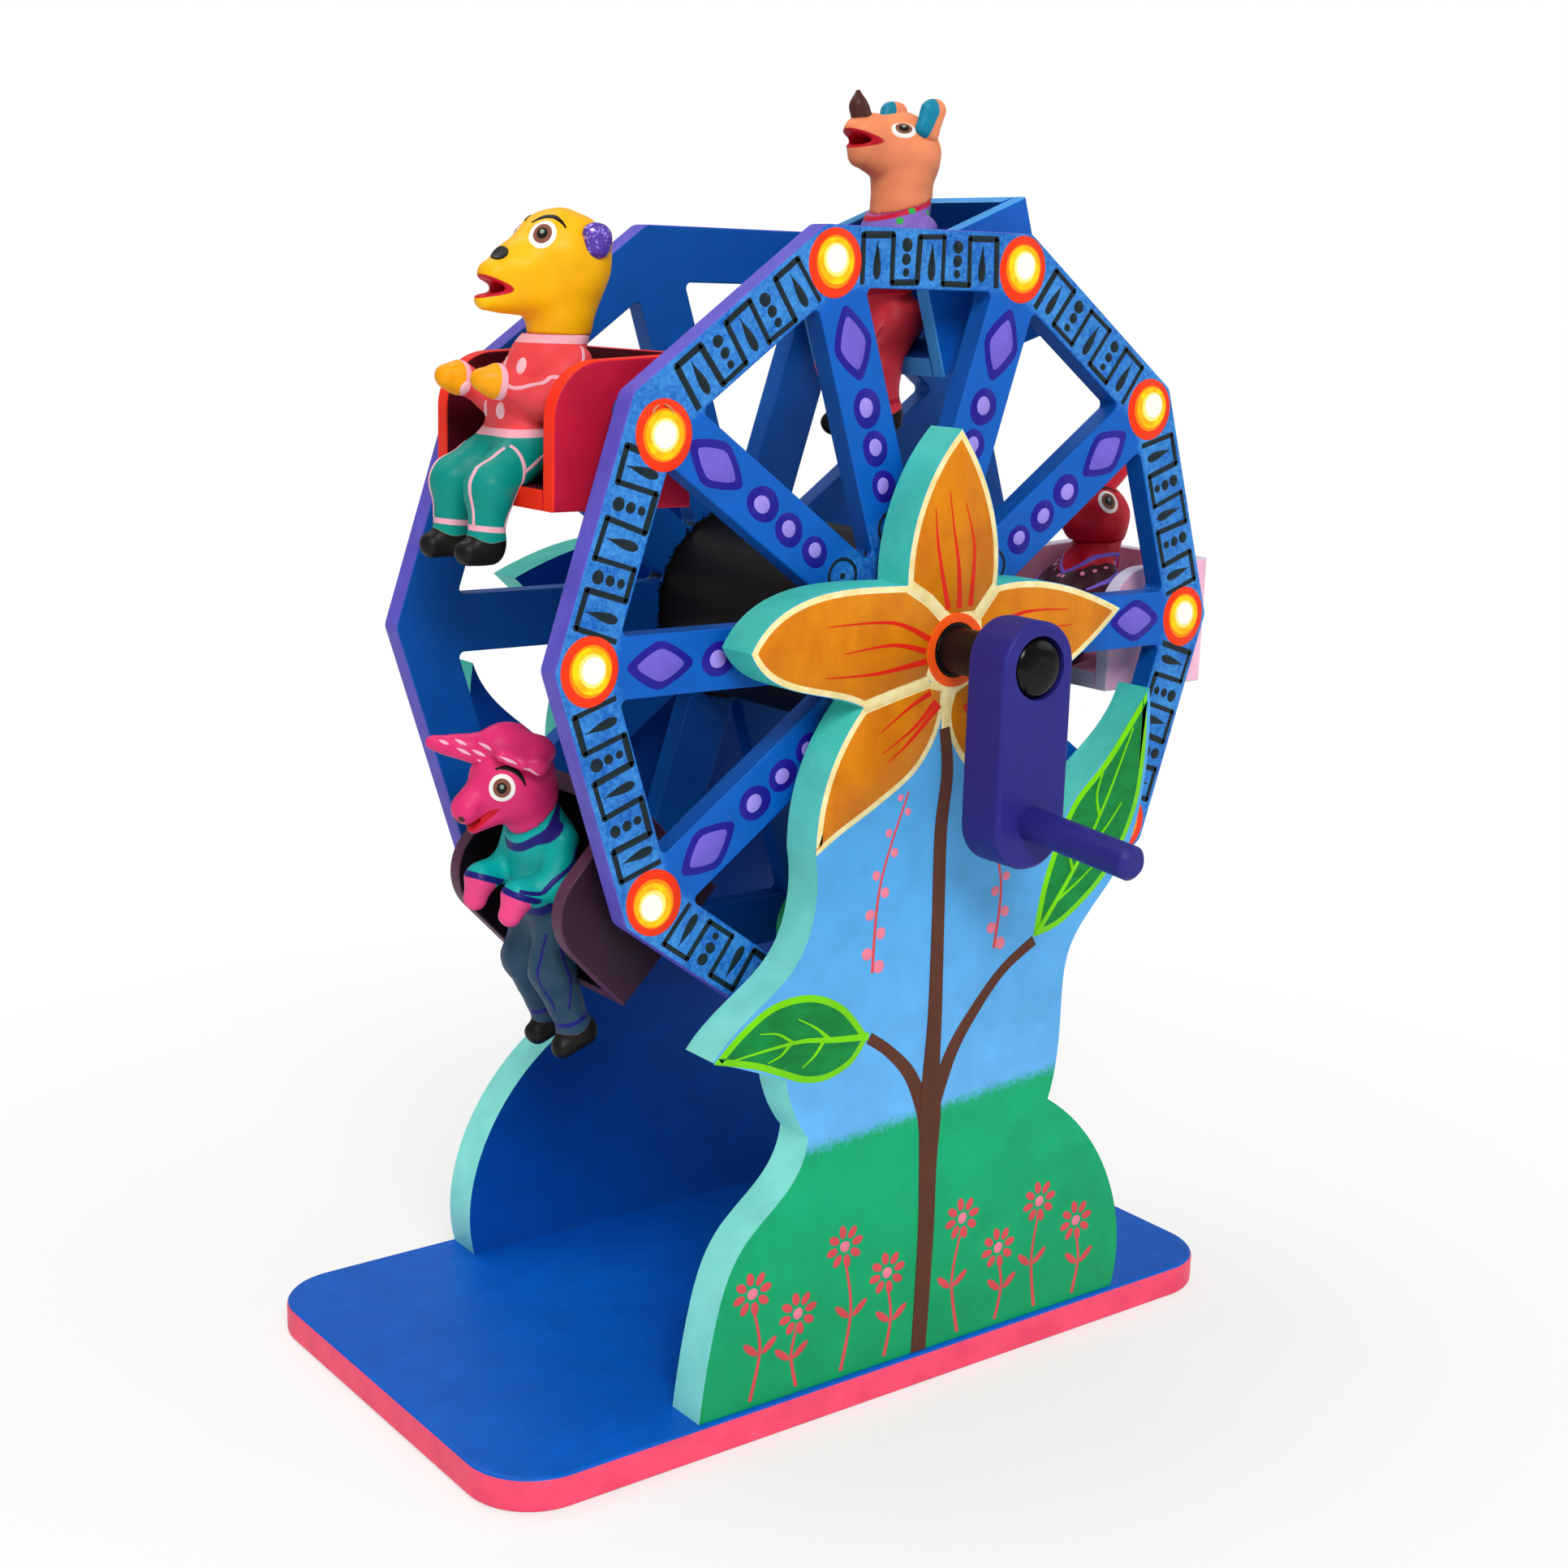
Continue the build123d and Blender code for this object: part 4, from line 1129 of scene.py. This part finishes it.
def surface_of(values):
    """The zero surface of a grid of distances: its points in grid steps, and its quads."""
    part = (slice(None, -1), slice(1, None))
    corners = {(i, j, k): values[part[i], part[j], part[k]]
               for i in (0, 1) for j in (0, 1) for k in (0, 1)}
    inside = sum((v < 0).astype(int) for v in corners.values())
    mixed = (inside > 0) & (inside < 8)
    index = np.full(mixed.shape, -1)
    index[mixed] = np.arange(mixed.sum())
    total, hits = np.zeros((mixed.sum(), 3)), np.zeros(mixed.sum())
    for corner, value in corners.items():
        for axis in range(3):
            if corner[axis]:
                continue
            other = list(corner)
            other[axis] = 1
            a, b = value[mixed], corners[tuple(other)][mixed]
            crossed = (a < 0) != (b < 0)
            share = np.where(crossed, a / np.where(crossed, a - b, 1), 0)
            place = np.array(corner, float) + share[:, None] * np.eye(3)[axis]
            total += place * crossed[:, None]
            hits += crossed
    points = np.argwhere(mixed) + total / hits[:, None]
    quads = []
    for axis in range(3):
        u, v = (axis + 1) % 3, (axis + 2) % 3
        ordered = np.transpose(values, (axis, u, v))
        cells = np.transpose(index, (axis, u, v))
        a, b = ordered[:-1, 1:-1, 1:-1] < 0, ordered[1:, 1:-1, 1:-1] < 0
        ring = np.stack((cells[:, :-1, :-1], cells[:, 1:, :-1], cells[:, 1:, 1:],
                         cells[:, :-1, 1:]), axis=-1)
        quads.append(ring[a & ~b])
        quads.append(ring[~a & b][:, ::-1])
    return points, np.concatenate(quads)


def zoned(plain, zones):
    """Paint for a carved piece: a plain colour, and a colour for each zone."""
    def colour(tree, coords):
        result = linear(plain)
        for zone, shade in zones.items():
            depth = add(tree, "ShaderNodeAttribute", attribute_name=zone).outputs["Fac"]
            result = mix(tree, ramp(tree, depth, -0.07, 0.07), result, linear(shade))
        return result
    return colour


UPRIGHT = {  # the pose of a rider that sits up; places on the far side, mirrored for the near
    "chest": (15.2, 0, 29.5), "belly": (7.6, 0, 18.5), "waist": (7.2, 0, 12.4),
    "hips": (7.6, 0, 8.4), "shoulder": (18.2, 10.2, 31), "elbow": (7, 12, 21.6),
    "wrist": (-4, 9.9, 26.2), "hand": (-8.4, 9.5, 26.6), "thigh": (6.6, 6.2, 8.6),
    "knee": (-6.1, 9.3, -0.4), "ankle": (-7.1, 9.3, -11.4), "heel": (-6.6, 9.3, -16.2),
    "toe": (-12.8, 9.5, -17), "neck": (19.6, 0, 38), "belt": (7.4, 0, 13.2), "collar": (8.0, 1.1),
}
LEANING = dict(  # the pose of one whose cart hangs far forward
    UPRIGHT, chest=(22.3, 0, 29), belly=(16.5, 0, 22.5), waist=(11.8, 0, 18.4),
    hips=(10.2, 0, 11), shoulder=(24, 10.4, 31.4), elbow=(14, 12.4, 25), wrist=(5.6, 10.2, 31),
    hand=(-0.2, 9.6, 28.2), thigh=(9, 5.2, 12.5), knee=(-2.2, 7.3, 5.0), ankle=(-8.4, 6.9, -10.4),
    heel=(-8.6, 6.9, -16.2), toe=(-15.6, 7.2, -14.3), neck=(25.4, 0, 37), belt=(12.0, 0, 18.6))
STOOPING = dict(  # the pose of one whose arms hang lower
    UPRIGHT, chest=(16.4, 0, 23.6), belly=(10, 0, 18), shoulder=(18, 10, 25.6), elbow=(8, 12, 18.4),
    wrist=(-3, 10, 21), hand=(-7.4, 9.6, 21.6), neck=(24, 0, 38))
LONG_NECKED = dict(UPRIGHT, neck=(20.6, 0, 38), collar=(8.9, 0.6), belt=(8.4, 0, 18.2))


def body_shapes(pose, bare_neck):
    """Limbs and clothes of a rider; bare_neck brings its skin down in place of a collar."""
    p = {name: np.array(place, float) for name, place in pose.items()}
    along = (p["hand"] - p["wrist"]) / np.linalg.norm(p["hand"] - p["wrist"])
    shin = p["ankle"] - p["knee"]
    shapes = [
        ("shirt", p["chest"], 9.0, p["belly"], 7.6, 1.2),
        ("shirt", p["belly"], 7.6, p["waist"], 6.8, 1.25),
        ("trousers", p["hips"], 7.8, p["hips"] + (3, 0, -1.0), 7.6, 1.3),
        ("trousers", p["thigh"], 7.0, p["knee"], 6.2, 1),
        ("trousers", p["knee"], 6.2, p["ankle"], 4.8, 1),
        ("shoes", p["heel"], 4.4, p["toe"], 3.5, 1),
        ("shirt", p["shoulder"], 4.9, p["elbow"], 4.3, 1),
        ("shirt", p["elbow"], 4.3, p["wrist"], 3.8, 1),
        ("skin", p["wrist"] + along * 1.4, 4.0, p["hand"], 3.2, 1),
        ("trim", p["wrist"] + along * 0.2, 6.5, p["hand"], 0.9, 1),
        ("trim", p["ankle"] - shin * 0.04, 8, p["ankle"] + shin, 0.75, 1),
        ("trim", p["belt"], 20, p["belt"] * 2 - p["hips"], 1.0, 1),
    ]
    if bare_neck:
        return shapes + [("skin", p["neck"], 7.0, p["chest"] + (4.4, 0, 7.4), 9.0, 1),
                         ("bib", (9.0, 0, 39.6), 30, (4.2, 0, 48.4), 10.0, 1)]
    radius, band = p["collar"]
    return shapes + [("shirt", p["chest"], 8.6, p["neck"], radius, 1.05),
                     ("trim", p["neck"] - (0, 0, band), 14, p["neck"], band, 1)]


def body_clip(top):
    """Keep a body off the seat board and below its neck's cut."""
    def clip(x, y, z):
        seat = -np.maximum(-0.3 - x, z)
        return np.maximum(seat, z - top)
    return clip


def head_clip(bottom):
    """Keep a head above its neck's cut."""
    return lambda x, y, z: bottom - z


def away(x, y, z):
    """Nothing cut off."""
    return np.full_like(x, -1e3)


HEADS = {
    "bear": [
        ("skin", (21.4, 0, 57.2), 12.4, (19.6, 0, 57.8), 12.3, 0.98),
        ("skin", (18, 0, 56.5), 11.6, (8.5, 0, 54.2), 8.2, 0.96),
        ("skin", (8, 0, 53.8), 7.0, (0.0, 0, 52.8), 3.9, 1.08),
        ("skin", (11, 0, 48.4), 6.4, (-2.4, 0, 46.2), 2.6, 1.25),
        ("skin", (20.4, 0, 50), 10.6, (19.4, 0, 36), 7.9, 1),
        ("mouth", (-8, 0, 50.2), 3.0, (4.6, 0, 49.0), 0.4, 3.6),
    ],
    "rhino": [
        ("skin", (27.2, 0, 51.4), 9.7, (25.5, 0, 53.4), 9.0, 0.96),
        ("skin", (26, 0, 55), 7.6, (14.5, 0, 59.4), 5.6, 1),
        ("skin", (14.5, 0, 60), 5.4, (11.4, 0, 61.4), 4.4, 1.1),
        ("skin", (24, 0, 49.6), 8.2, (10.8, 0, 55.2), 3.8, 1.1),
        ("skin", (26.0, 0, 49), 8.8, (22.2, 0, 42), 8.1, 1),
        ("skin", (22.2, 0, 42), 8.1, (20.8, 0, 36.5), 9.2, 1),
        ("mouth", (3.0, 0, 62.6), 2.4, (18.4, 0, 56.4), 0.3, 3.8),
    ],
    "pig": [
        ("skin", (30.2, 0, 49), 10.2, (27.6, 0, 51.4), 9.5, 0.95),
        ("skin", (26, 0, 51.8), 8.0, (17.6, 0, 54.4), 3.3, 1),
        ("skin", (17.6, 0, 54.4), 3.3, (14.6, 0, 54.6), 2.7, 1.15),
        ("skin", (13.6, 0, 54.5), 3.5, (13.2, 0, 54.5), 3.5, 1.1),
        ("skin", (24, 0, 47.4), 7.2, (12.0, 0, 49.4), 2.2, 1.15),
        ("skin", (29, 0, 46), 9.6, (25.5, 0, 34), 7.9, 1),
        ("mouth", (7.5, 0, 51.0), 0.9, (21.5, 0, 49.6), 0.25, 5),
    ],
    "bird": [
        ("skin", (21.8, 0, 45.0), 10.9, (20.4, 0, 45.4), 10.7, 0.95),
        ("skin", (17, 0, 45.6), 8.0, (1.5, 0, 46), 1.5, 0.9),
        ("skin", (22.4, 0, 42), 7.8, (24.2, 0, 36.5), 6.8, 1),
        ("mouth", (-6, 0, 46.0), 0.6, (8.5, 0, 45.8), 0.12, 5),
    ],
    "dog": [
        ("skin", (24, 0, 57.5), 11.4, (20, 0, 57.5), 11.0, 0.98),
        ("skin", (17, 0, 55), 9.0, (3, 0, 52.2), 5.4, 1),
        ("skin", (14, 0, 48.6), 6.4, (3, 0, 48.2), 3.4, 1.1),
        ("skin", (21, 0, 50), 10.4, (19.4, 0, 36), 8.0, 1),
        ("mouth", (-4, 0, 50.4), 1.8, (6, 0, 49.6), 0.4, 4),
    ],
}
EARS = {
    "bear": [("inner", (23.0, 11.2, 60.6), 2.5, (22.8, 11.6, 63.6), 2.7, 0.8),
             ("inner", (24.6, 11.3, 61.0), 2.6, (24.8, 11.6, 62.8), 2.6, 0.8),
             ("skin", (25.4, 10.6, 60.8), 2.8, (25.4, 10.8, 62.6), 2.8, 0.8)],
    "rhino": [("inner", (27.4, 8.6, 58.4), 2.4, (30.6, 9.2, 62.2), 2.9, 0.7),
              ("skin", (30.4, 8.0, 56.4), 2.9, (33.8, 9.0, 61.6), 2.9, 0.7)],
    "pig": [("lone", (33.4, 0, 61.0), 2.4, (21.8, 9.6, 70.4), 0.8, 1),
            ("lone", (31, 0, 59.6), 2.4, (22.4, 9.0, 68.6), 0.9, 1),
            ("lone", (28.6, 0, 58.0), 2.2, (23.0, 8.2, 66.4), 0.9, 1),
            ("lone", (30.5, 0, 60.6), 2.1, (28.8, -9.0, 61.6), 1.0, 1),
            ("lone", (32.5, 0, 61.0), 2.4, (30.4, -12.0, 56.4), 1.1, 1),
            ("lone", (34.5, 0, 61.2), 2.6, (33.4, -12.8, 52.6), 1.1, 1),
            ("lone", (36.8, 0, 59.4), 2.6, (37.0, -10.6, 52.4), 1.4, 1),
            ("lone", (38.6, 0, 56.4), 2.4, (38.6, -7.6, 51.6), 1.6, 1),
            ("lone", (28.8, -9.0, 61.4), 1.0, (33.0, -12.6, 53.6), 1.3, 1),
            ("lone", (33.0, -12.6, 53.0), 1.4, (38.2, -8.6, 51.4), 1.6, 1),
            ("lone", (31, -5, 60.2), 1.8, (37.6, -6, 56), 2.2, 1),
            ("lone", (30.8, -8.8, 59.6), 1.3, (37, -8.8, 54.4), 2.0, 1),
            ("lone", (33.4, -12.2, 53.4), 1.8, (38.4, -7.6, 52.6), 2.4, 1),
            ("lone", (22.2, 9.2, 69.6), 1.0, (27.6, 0.5, 59.4), 2.0, 1)],
    "bird": [("skin", (24, 0, 53.8), 3.6, (33.4, 0, 60.6), 2.7, 0.6),
             ("skin", (21, 0, 54.6), 2.6, (31.8, 0, 62.4), 1.6, 0.6)],
    "dog": [("skin", (25, 10.6, 61), 3.2, (20, 14.6, 50), 4.0, 0.55)],
}
HORN = [("skin", (13.4, 0, 64.4), 3.4, (13.2, 0, 68.4), 2.1, 0.9),
        ("skin", (13.2, 0, 68.4), 2.1, (14.0, 0, 72.0), 0.8, 0.9)]
FACE = {  # eye place and radius, height over width, brow (reach, first and last angle), nose
    "bear": ((7.8, 9.2, 65.4), 3.75, 1.12, (5.9, 102, -8), ((1.4, -1.6, 57.6), 2.8)),
    "rhino": ((21.7, 7.4, 59.4), 3.9, 0.62, None, None),
    "pig": ((22.4, 8.8, 54.8), 3.6, 1.1, (5.9, 62, -42), None),
    "bird": ((18.2, 9.6, 51.6), 3.8, 1.1, (6.2, 125, 35), None),
    "dog": ((10.4, 9.2, 60.6), 3.8, 1.1, (5.8, 102, -8), ((-1.0, 0, 55.0), 2.4)),
}
SHIN_PIPING = [(1.2, [(-3.4, -11, 11), (-10, -11, 7.4), (-13.5, -11, 2.3), (-13.3, -11, -9.9)])]
# brushed lines on the clothes: width, and places in the rider's frame
STROKES = {
    "bear": [
        (1.3, [(-3.4, -11, 11), (-10, -11, 7.4), (-13.5, -11, 2.3), (-14, -11, -2.8),
               (-13.3, -11, -9.9)]),
        (1.2, [(-2, -12, 11.8), (0.6, -13, 7.2), (1.1, -14, 2.8), (-0.7, -14, -3.5),
               (-3.4, -14, -10.6)]),
        (1.2, [(1.3, -14, 3.4), (7.8, -12, 8)]),
        (1.2, [(-5.2, -14, 26.5), (-1.9, -14, 24.9), (6.1, -14, 25.5), (9, -14, 27.1),
               (12.1, -14, 26.9), (17.5, -14, 30.7), (18.8, -13, 35.2)]),
    ],
    "pig": [
        (1.5, [(5.3, -15, 34.2), (8.3, -15, 29), (12.5, -15, 27.8), (20.1, -15, 27.3),
               (25.2, -15, 28.3)]),
        (1.0, [(1.8, -11, 17.3), (-5.8, -11, 14), (-9.2, -11, 8.7), (-12.5, -11, -2.3)]),
        (1.0, [(7.2, -14, 17.2), (0.1, -14, 7.3), (-3.4, -14, 0.2), (-8.7, -14, -4.5)]),
    ],
    "bird": [
        (1.6, [(8.4, 0, 27.6), (11.2, -4.2, 30.3), (14.8, -6.7, 32.9), (19.1, -8, 33.7),
               (26.3, -6.8, 33.6)]),
        (1.5, [(7.3, -11.7, 23.9), (10.3, -13.2, 25.1), (15.5, -14.3, 26.9),
               (21.5, -12.5, 29.8), (26.3, -8, 33.4)]),
    ],
    "rhino": SHIN_PIPING,
    "dog": SHIN_PIPING,
}
# dabs on the clothes: colour, radius, height over width, and places
DABS = {
    "bear": ("#F8C8D4", 1.5, 1.5, [(-3.6, -5, 18.6), (-4.5, -5, 22.4), (2.4, -6, 31.4),
                                   (8.5, -13, 22), (22, -10, 26)]),
    "rhino": ("#2FB04A", 1.1, 1.0, [(8.5, -6, 33), (13, -8, 35.4), (17.5, -8, 36.6),
                                    (21.6, -8, 34.8), (19.3, -9, 31), (12, -9, 29.5),
                                    (25.4, -8, 32.4)]),
    "bird": ("#E88AA8", 0.8, 1.0, [(7.5, -0.9, 26.6), (10.7, -6.3, 28.0), (13.5, -9, 29.1),
                                   (16.4, -10.9, 30.2), (22.1, -9.3, 31)]),
}
NOSTRILS = [(9.6, 0.4, 54.2), (10.2, -2.4, 54.6)]
EAR_STREAKS = [[(23.2, 6.9, 70.2), (23.8, 5.0, 68.2)], [(25.9, 4.5, 68.0), (26.5, 2.1, 65.6)],
               [(24.3, 3.3, 66.5), (25.2, 1.1, 63.2)], [(26.4, 0.9, 63.9), (27, -2.2, 61.4)],
               [(25.3, -0.1, 61.4), (26.6, -2.2, 58.1)], [(28.9, 0.2, 64.2), (28.9, -4.9, 62.3)],
               [(28.4, -9.5, 62.1), (29.3, -12.2, 58.2)], [(29.6, -13, 56.3), (31.3, -14.2, 52.3)]]


RIDERS = {  # cart, body colours, head colour, pose
    "bear": ("red", {"shirt": "#F04A50", "trousers": "#029084", "trim": "#F6B4C4",
                     "shoes": "#14110D", "skin": "#F5A200"}, "#FCBA00", UPRIGHT),
    "rhino": ("blue", {"shirt": "#8468C4", "trousers": "#EE3A48", "trim": "#C8143A",
                       "shoes": "#14110D", "skin": "#F08C58"}, "#F49060", LONG_NECKED),
    "pig": ("maroon", {"shirt": "#00B0AA", "trousers": "#2C4A62", "trim": "#1E1C78",
                       "shoes": "#14110D", "skin": "#F04888"}, "#E43074", LEANING),
    "bird": ("pink", {"shirt": "#3E1420", "trousers": "#1C141A", "bib": "#C80C28",
                      "trim": "#7A60D0", "shoes": "#14110D", "skin": "#C80C28"}, "#CE0E2A",
             STOOPING),
    "dog": ("green", {"shirt": "#E89A10", "trousers": "#2448A0", "trim": "#F6E0A0",
                      "shoes": "#14110D", "skin": "#B4702E"}, "#B4702E", UPRIGHT),
}


def carve_rider(animal):
    """Carve and paint one rider in its cart."""
    cart, colours, head_hex, pose = RIDERS[animal]
    zones = {zone: shade for zone, shade in colours.items() if zone != "skin"}
    # acrylic over knife-carved wood: satin, softly rounded, each colour meeting the next in a
    # crisp painted line; the bear's ears have fine metallic flecks that sparkle
    clothes = acrylic(f"acrylic_{animal}_body", zoned(colours["skin"], zones), (2, 2, 4), 0.42)
    head_paint = acrylic(f"acrylic_{animal}_head", zoned(head_hex, {"mouth": "#C80C22"}),
                         (3, 3, 2), 0.42)
    body = carved(f"{animal}_carved_body", body_shapes(pose, animal == "bird"), body_clip(NECK),
                  clothes, cart, [f"{animal}_body"],
                  belt=(pose["belt"], pose["hips"]))
    head = carved(f"{animal}_carved_head", HEADS[animal], head_clip(NECK), head_paint, cart,
                  [f"{animal}_head"])
    ear_node = "bird_crest" if animal == "bird" else f"{animal}_ears"
    inner = {"bear": "#5E42B0", "rhino": "#0E86A4"}.get(animal, head_hex)
    ear_paint = acrylic(f"acrylic_{animal}_ears", zoned(head_hex, {"inner": inner}), (2, 2, 4),
                        0.36, fleck="#B8A4F0" if animal == "bear" else None)
    ears = carved(f"{animal}_carved_ears", EARS[animal], away, ear_paint, cart,
                  [ear_node],
                  FINE_STEP)
    if animal == "rhino":
        carved("rhino_carved_horn", HORN, away, FILM["horn"], cart,
               ["rhino_horn"], FINE_STEP)
    paint_clothes(animal, cart, body, colours["trim"])
    if animal == "pig":
        paint_pig(cart, head, ears)
    paint_face(animal, cart, SEATS[cart], head)


def paint_clothes(animal, cart, skin, trim_hex):
    """Piping and dabs, the same on both sides of the body."""
    slot = f"{animal}_clothes_paint"
    seat = SEATS[cart]
    piping = Coat(f"{animal}_piping", acrylic(f"acrylic_{animal}_piping", trim_hex), None,
                  f"{cart}_cart", slot)
    for width, places in STROKES[animal]:
        for side in (1, -1):
            path = curve_through([(x, y * side, z) for x, y, z in places], 7)
            piping.hug(skin, [seat @ Vector(place) for place in path], width, taper=(0.8, 0.8))
    piping.finish()
    if animal in DABS:
        hexcode, radius, tall, places = DABS[animal]
        dabs = Coat(f"{animal}_dabs", acrylic(f"acrylic_{animal}_dabs", hexcode), None,
                    f"{cart}_cart", slot)
        for x, y, z in places:
            for side in (1, -1):
                dabs.spot(skin, seat @ Vector((x, y * side, z)), radius, PAINT, tall)
        dabs.finish()


def paint_pig(cart, head, ears):
    """Nostrils on the snout, and pale dry-brushed streaks under the ears."""
    seat = SEATS[cart]
    nostrils = Coat("pig_nostrils", FILM["horn"], None, f"{cart}_cart", "pig_paint")
    for place in NOSTRILS:
        nostrils.spot(head, seat @ Vector(place), 0.95, PAINT, 1.3)
    nostrils.finish()
    streaks = Coat("pig_ear_streaks", FILM["pale_pink"], None, f"{cart}_cart", "pig_paint")
    for start, end in EAR_STREAKS:
        path = [seat @ Vector(start).lerp(Vector(end), i / 6) for i in range(7)]
        streaks.hug(ears, path, 1.0, PAINT, (0.3, 0.3))
    streaks.finish()


def paint_face(animal, cart, seat, skin):
    """Eyes, brows and nose: flat dabs one on another, each a little thicker than the last."""
    eye, radius, tall, brow, nose = FACE[animal]
    slot = f"{animal}_paint"

    def coat(name, material):
        return Coat(f"{animal}_{name}", material, None, f"{cart}_cart", slot)

    white = coat("eye_whites", FILM["eye_white"])
    brown = coat("irises", FILM["iris"])
    black = coat("pupils_and_brows", FILM["pupil"])
    glint = coat("eye_glints", FILM["glint"])
    for side in (-1, 1):
        near = seat @ Vector((eye[0], side * eye[1], eye[2]))
        centre, normal = skin(near)
        high = centre + Vector((0, 0, radius * max(0.0, 1 - tall) * 0.35))
        white.spot(skin, centre, radius, tall=tall)
        brown.spot(skin, high, radius * 0.7, PAINT * 2, tall)
        black.spot(skin, high, radius * 0.4, PAINT * 3, tall)
        # the glint: a painted highlight on the pupil
        glint.spot(skin, high + Vector((0, 0, radius * 0.12)), radius * 0.17, PAINT * 4, tall)
        if brow:
            back = seat.to_3x3() @ Vector((1, 0, 0))
            rise = normal.cross(back.cross(normal).normalized()).normalized()
            across = (back - normal * back.dot(normal)).normalized()
            up = normal.cross(across)
            up = up if up.z > 0 else -up
            arc = []
            for i in range(14):
                angle = math.radians(brow[1] + (brow[2] - brow[1]) * i / 13)
                reach = brow[0] * (1 + 0.12 * i / 13)
                arc.append(centre + across * reach * math.cos(angle) + up * reach * math.sin(angle))
            black.hug(skin, arc, 1.6, PAINT * 2, (0.4, 0.5))
    if nose:
        black.spot(skin, seat @ Vector(nose[0]), nose[1], PAINT * 4, 0.8)
    for film in (white, brown, black, glint):
        film.finish()


# ---------------------------------------------------------------- camera, floor and light
LENS = 51.25                     # mm on a 36 mm frame
CAMERA_AZIMUTH = -37.34          # degrees, these three; fitted to the photograph
CAMERA_ELEVATION = 12.674
CAMERA_ROLL = 1.686
CAMERA_DISTANCE = 673.2          # mm
CAMERA_TARGET = Vector((5.42, 0, 166.24))
LAMPS_AIM = Vector((0, 0, 0.18))             # metres


def set_camera():
    """A camera where the photograph's was."""
    a, e, r = (math.radians(v) for v in (CAMERA_AZIMUTH, CAMERA_ELEVATION, CAMERA_ROLL))
    back = Vector((math.sin(a) * math.cos(e), -math.cos(a) * math.cos(e), math.sin(e)))
    right = Vector((0, 0, 1)).cross(back).normalized()
    up = back.cross(right)
    tilted_right = right * math.cos(r) + up * math.sin(r)
    tilted_up = up * math.cos(r) - right * math.sin(r)
    data = bpy.data.cameras.new("camera")
    data.lens = LENS
    data.sensor_width = 36
    data.clip_start = 0.01
    camera = bpy.data.objects.new("camera", data)
    camera.matrix_world = Matrix.Translation((CAMERA_TARGET + back * CAMERA_DISTANCE) * MM) @ \
        Matrix((tilted_right, tilted_up, back)).transposed().to_4x4()
    bpy.context.scene.collection.objects.link(camera)
    bpy.context.scene.camera = camera


def add_lamp(name, place, size, watts):
    """A round soft lamp, with its places and size in metres."""
    data = bpy.data.lights.new(name, "AREA")
    data.shape = "DISK"
    data.size = size
    data.energy = watts
    lamp = bpy.data.objects.new(name, data)
    lamp.location = place
    lamp.rotation_euler = (LAMPS_AIM - Vector(place)).to_track_quat("-Z", "Y").to_euler()
    bpy.context.scene.collection.objects.link(lamp)


def set_floor():
    """White paper: matt and very pale near the toy, and plain white away from it."""
    material = bpy.data.materials.new("white_paper_floor")
    material.use_nodes = True
    tree = material.node_tree
    shader = tree.nodes["Principled BSDF"]
    shader.inputs["Base Color"].default_value = linear("#F6F6F5")
    shader.inputs["Roughness"].default_value = 0.7
    coords = add(tree, "ShaderNodeTexCoord").outputs["Object"]
    reach = add(tree, "ShaderNodeVectorMath", {0: coords}, operation="LENGTH").outputs["Value"]
    far = ramp(tree, reach, 0.12, 0.42, 0.55, 1.0)
    seen = add(tree, "ShaderNodeLightPath").outputs["Is Camera Ray"]
    white = add(tree, "ShaderNodeEmission", {"Color": (1, 1, 1, 1), "Strength": 1.0})
    blend = add(tree, "ShaderNodeMixShader",
                {0: math_of(tree, "MULTIPLY", far, seen), 1: shader.outputs[0],
                 2: white.outputs[0]})
    tree.links.new(blend.outputs[0], tree.nodes["Material Output"].inputs["Surface"])
    mesh = bmesh.new()
    bmesh.ops.create_circle(mesh, cap_ends=True, segments=96, radius=4.0)
    data = bpy.data.meshes.new("floor")
    mesh.to_mesh(data)
    mesh.free()
    data.materials.append(material)
    floor = bpy.data.objects.new("floor", data)
    bpy.context.scene.collection.objects.link(floor)


def set_light():
    """A white room with three broad soft lamps."""
    world = bpy.data.worlds.new("studio")
    bpy.context.scene.world = world
    world.use_nodes = True
    tree = world.node_tree
    background = tree.nodes["Background"]
    seen = add(tree, "ShaderNodeLightPath").outputs["Is Camera Ray"]
    strength = ramp(tree, seen, 0, 1, 0.40, 1.0)
    background.inputs["Color"].default_value = (1, 1, 1, 1)
    tree.links.new(strength, background.inputs["Strength"])
    add_lamp("key_lamp", (-0.7, -1.3, 1.3), 0.8, 20)
    add_lamp("fill_lamp", (1.3, -1.0, 0.9), 1.2, 4)
    add_lamp("top_lamp", (-0.2, 0.6, 1.6), 1.0, 8)
    bpy.context.scene.view_settings.view_transform = "Standard"


set_camera()
set_floor()
set_light()
paint_stand_and_wheel()
paint_wheel_ornament("front", on_front(FRONT_RING_Y))
paint_wheel_ornament("rear", on_rear(REAR_RING_Y))
paint_panel_ornament("front", on_front(PANEL_FRONT_Y))
paint_panel_ornament("rear", on_rear(PANEL_REAR_Y))
paint_carts()
for animal in RIDERS:
    carve_rider(animal)
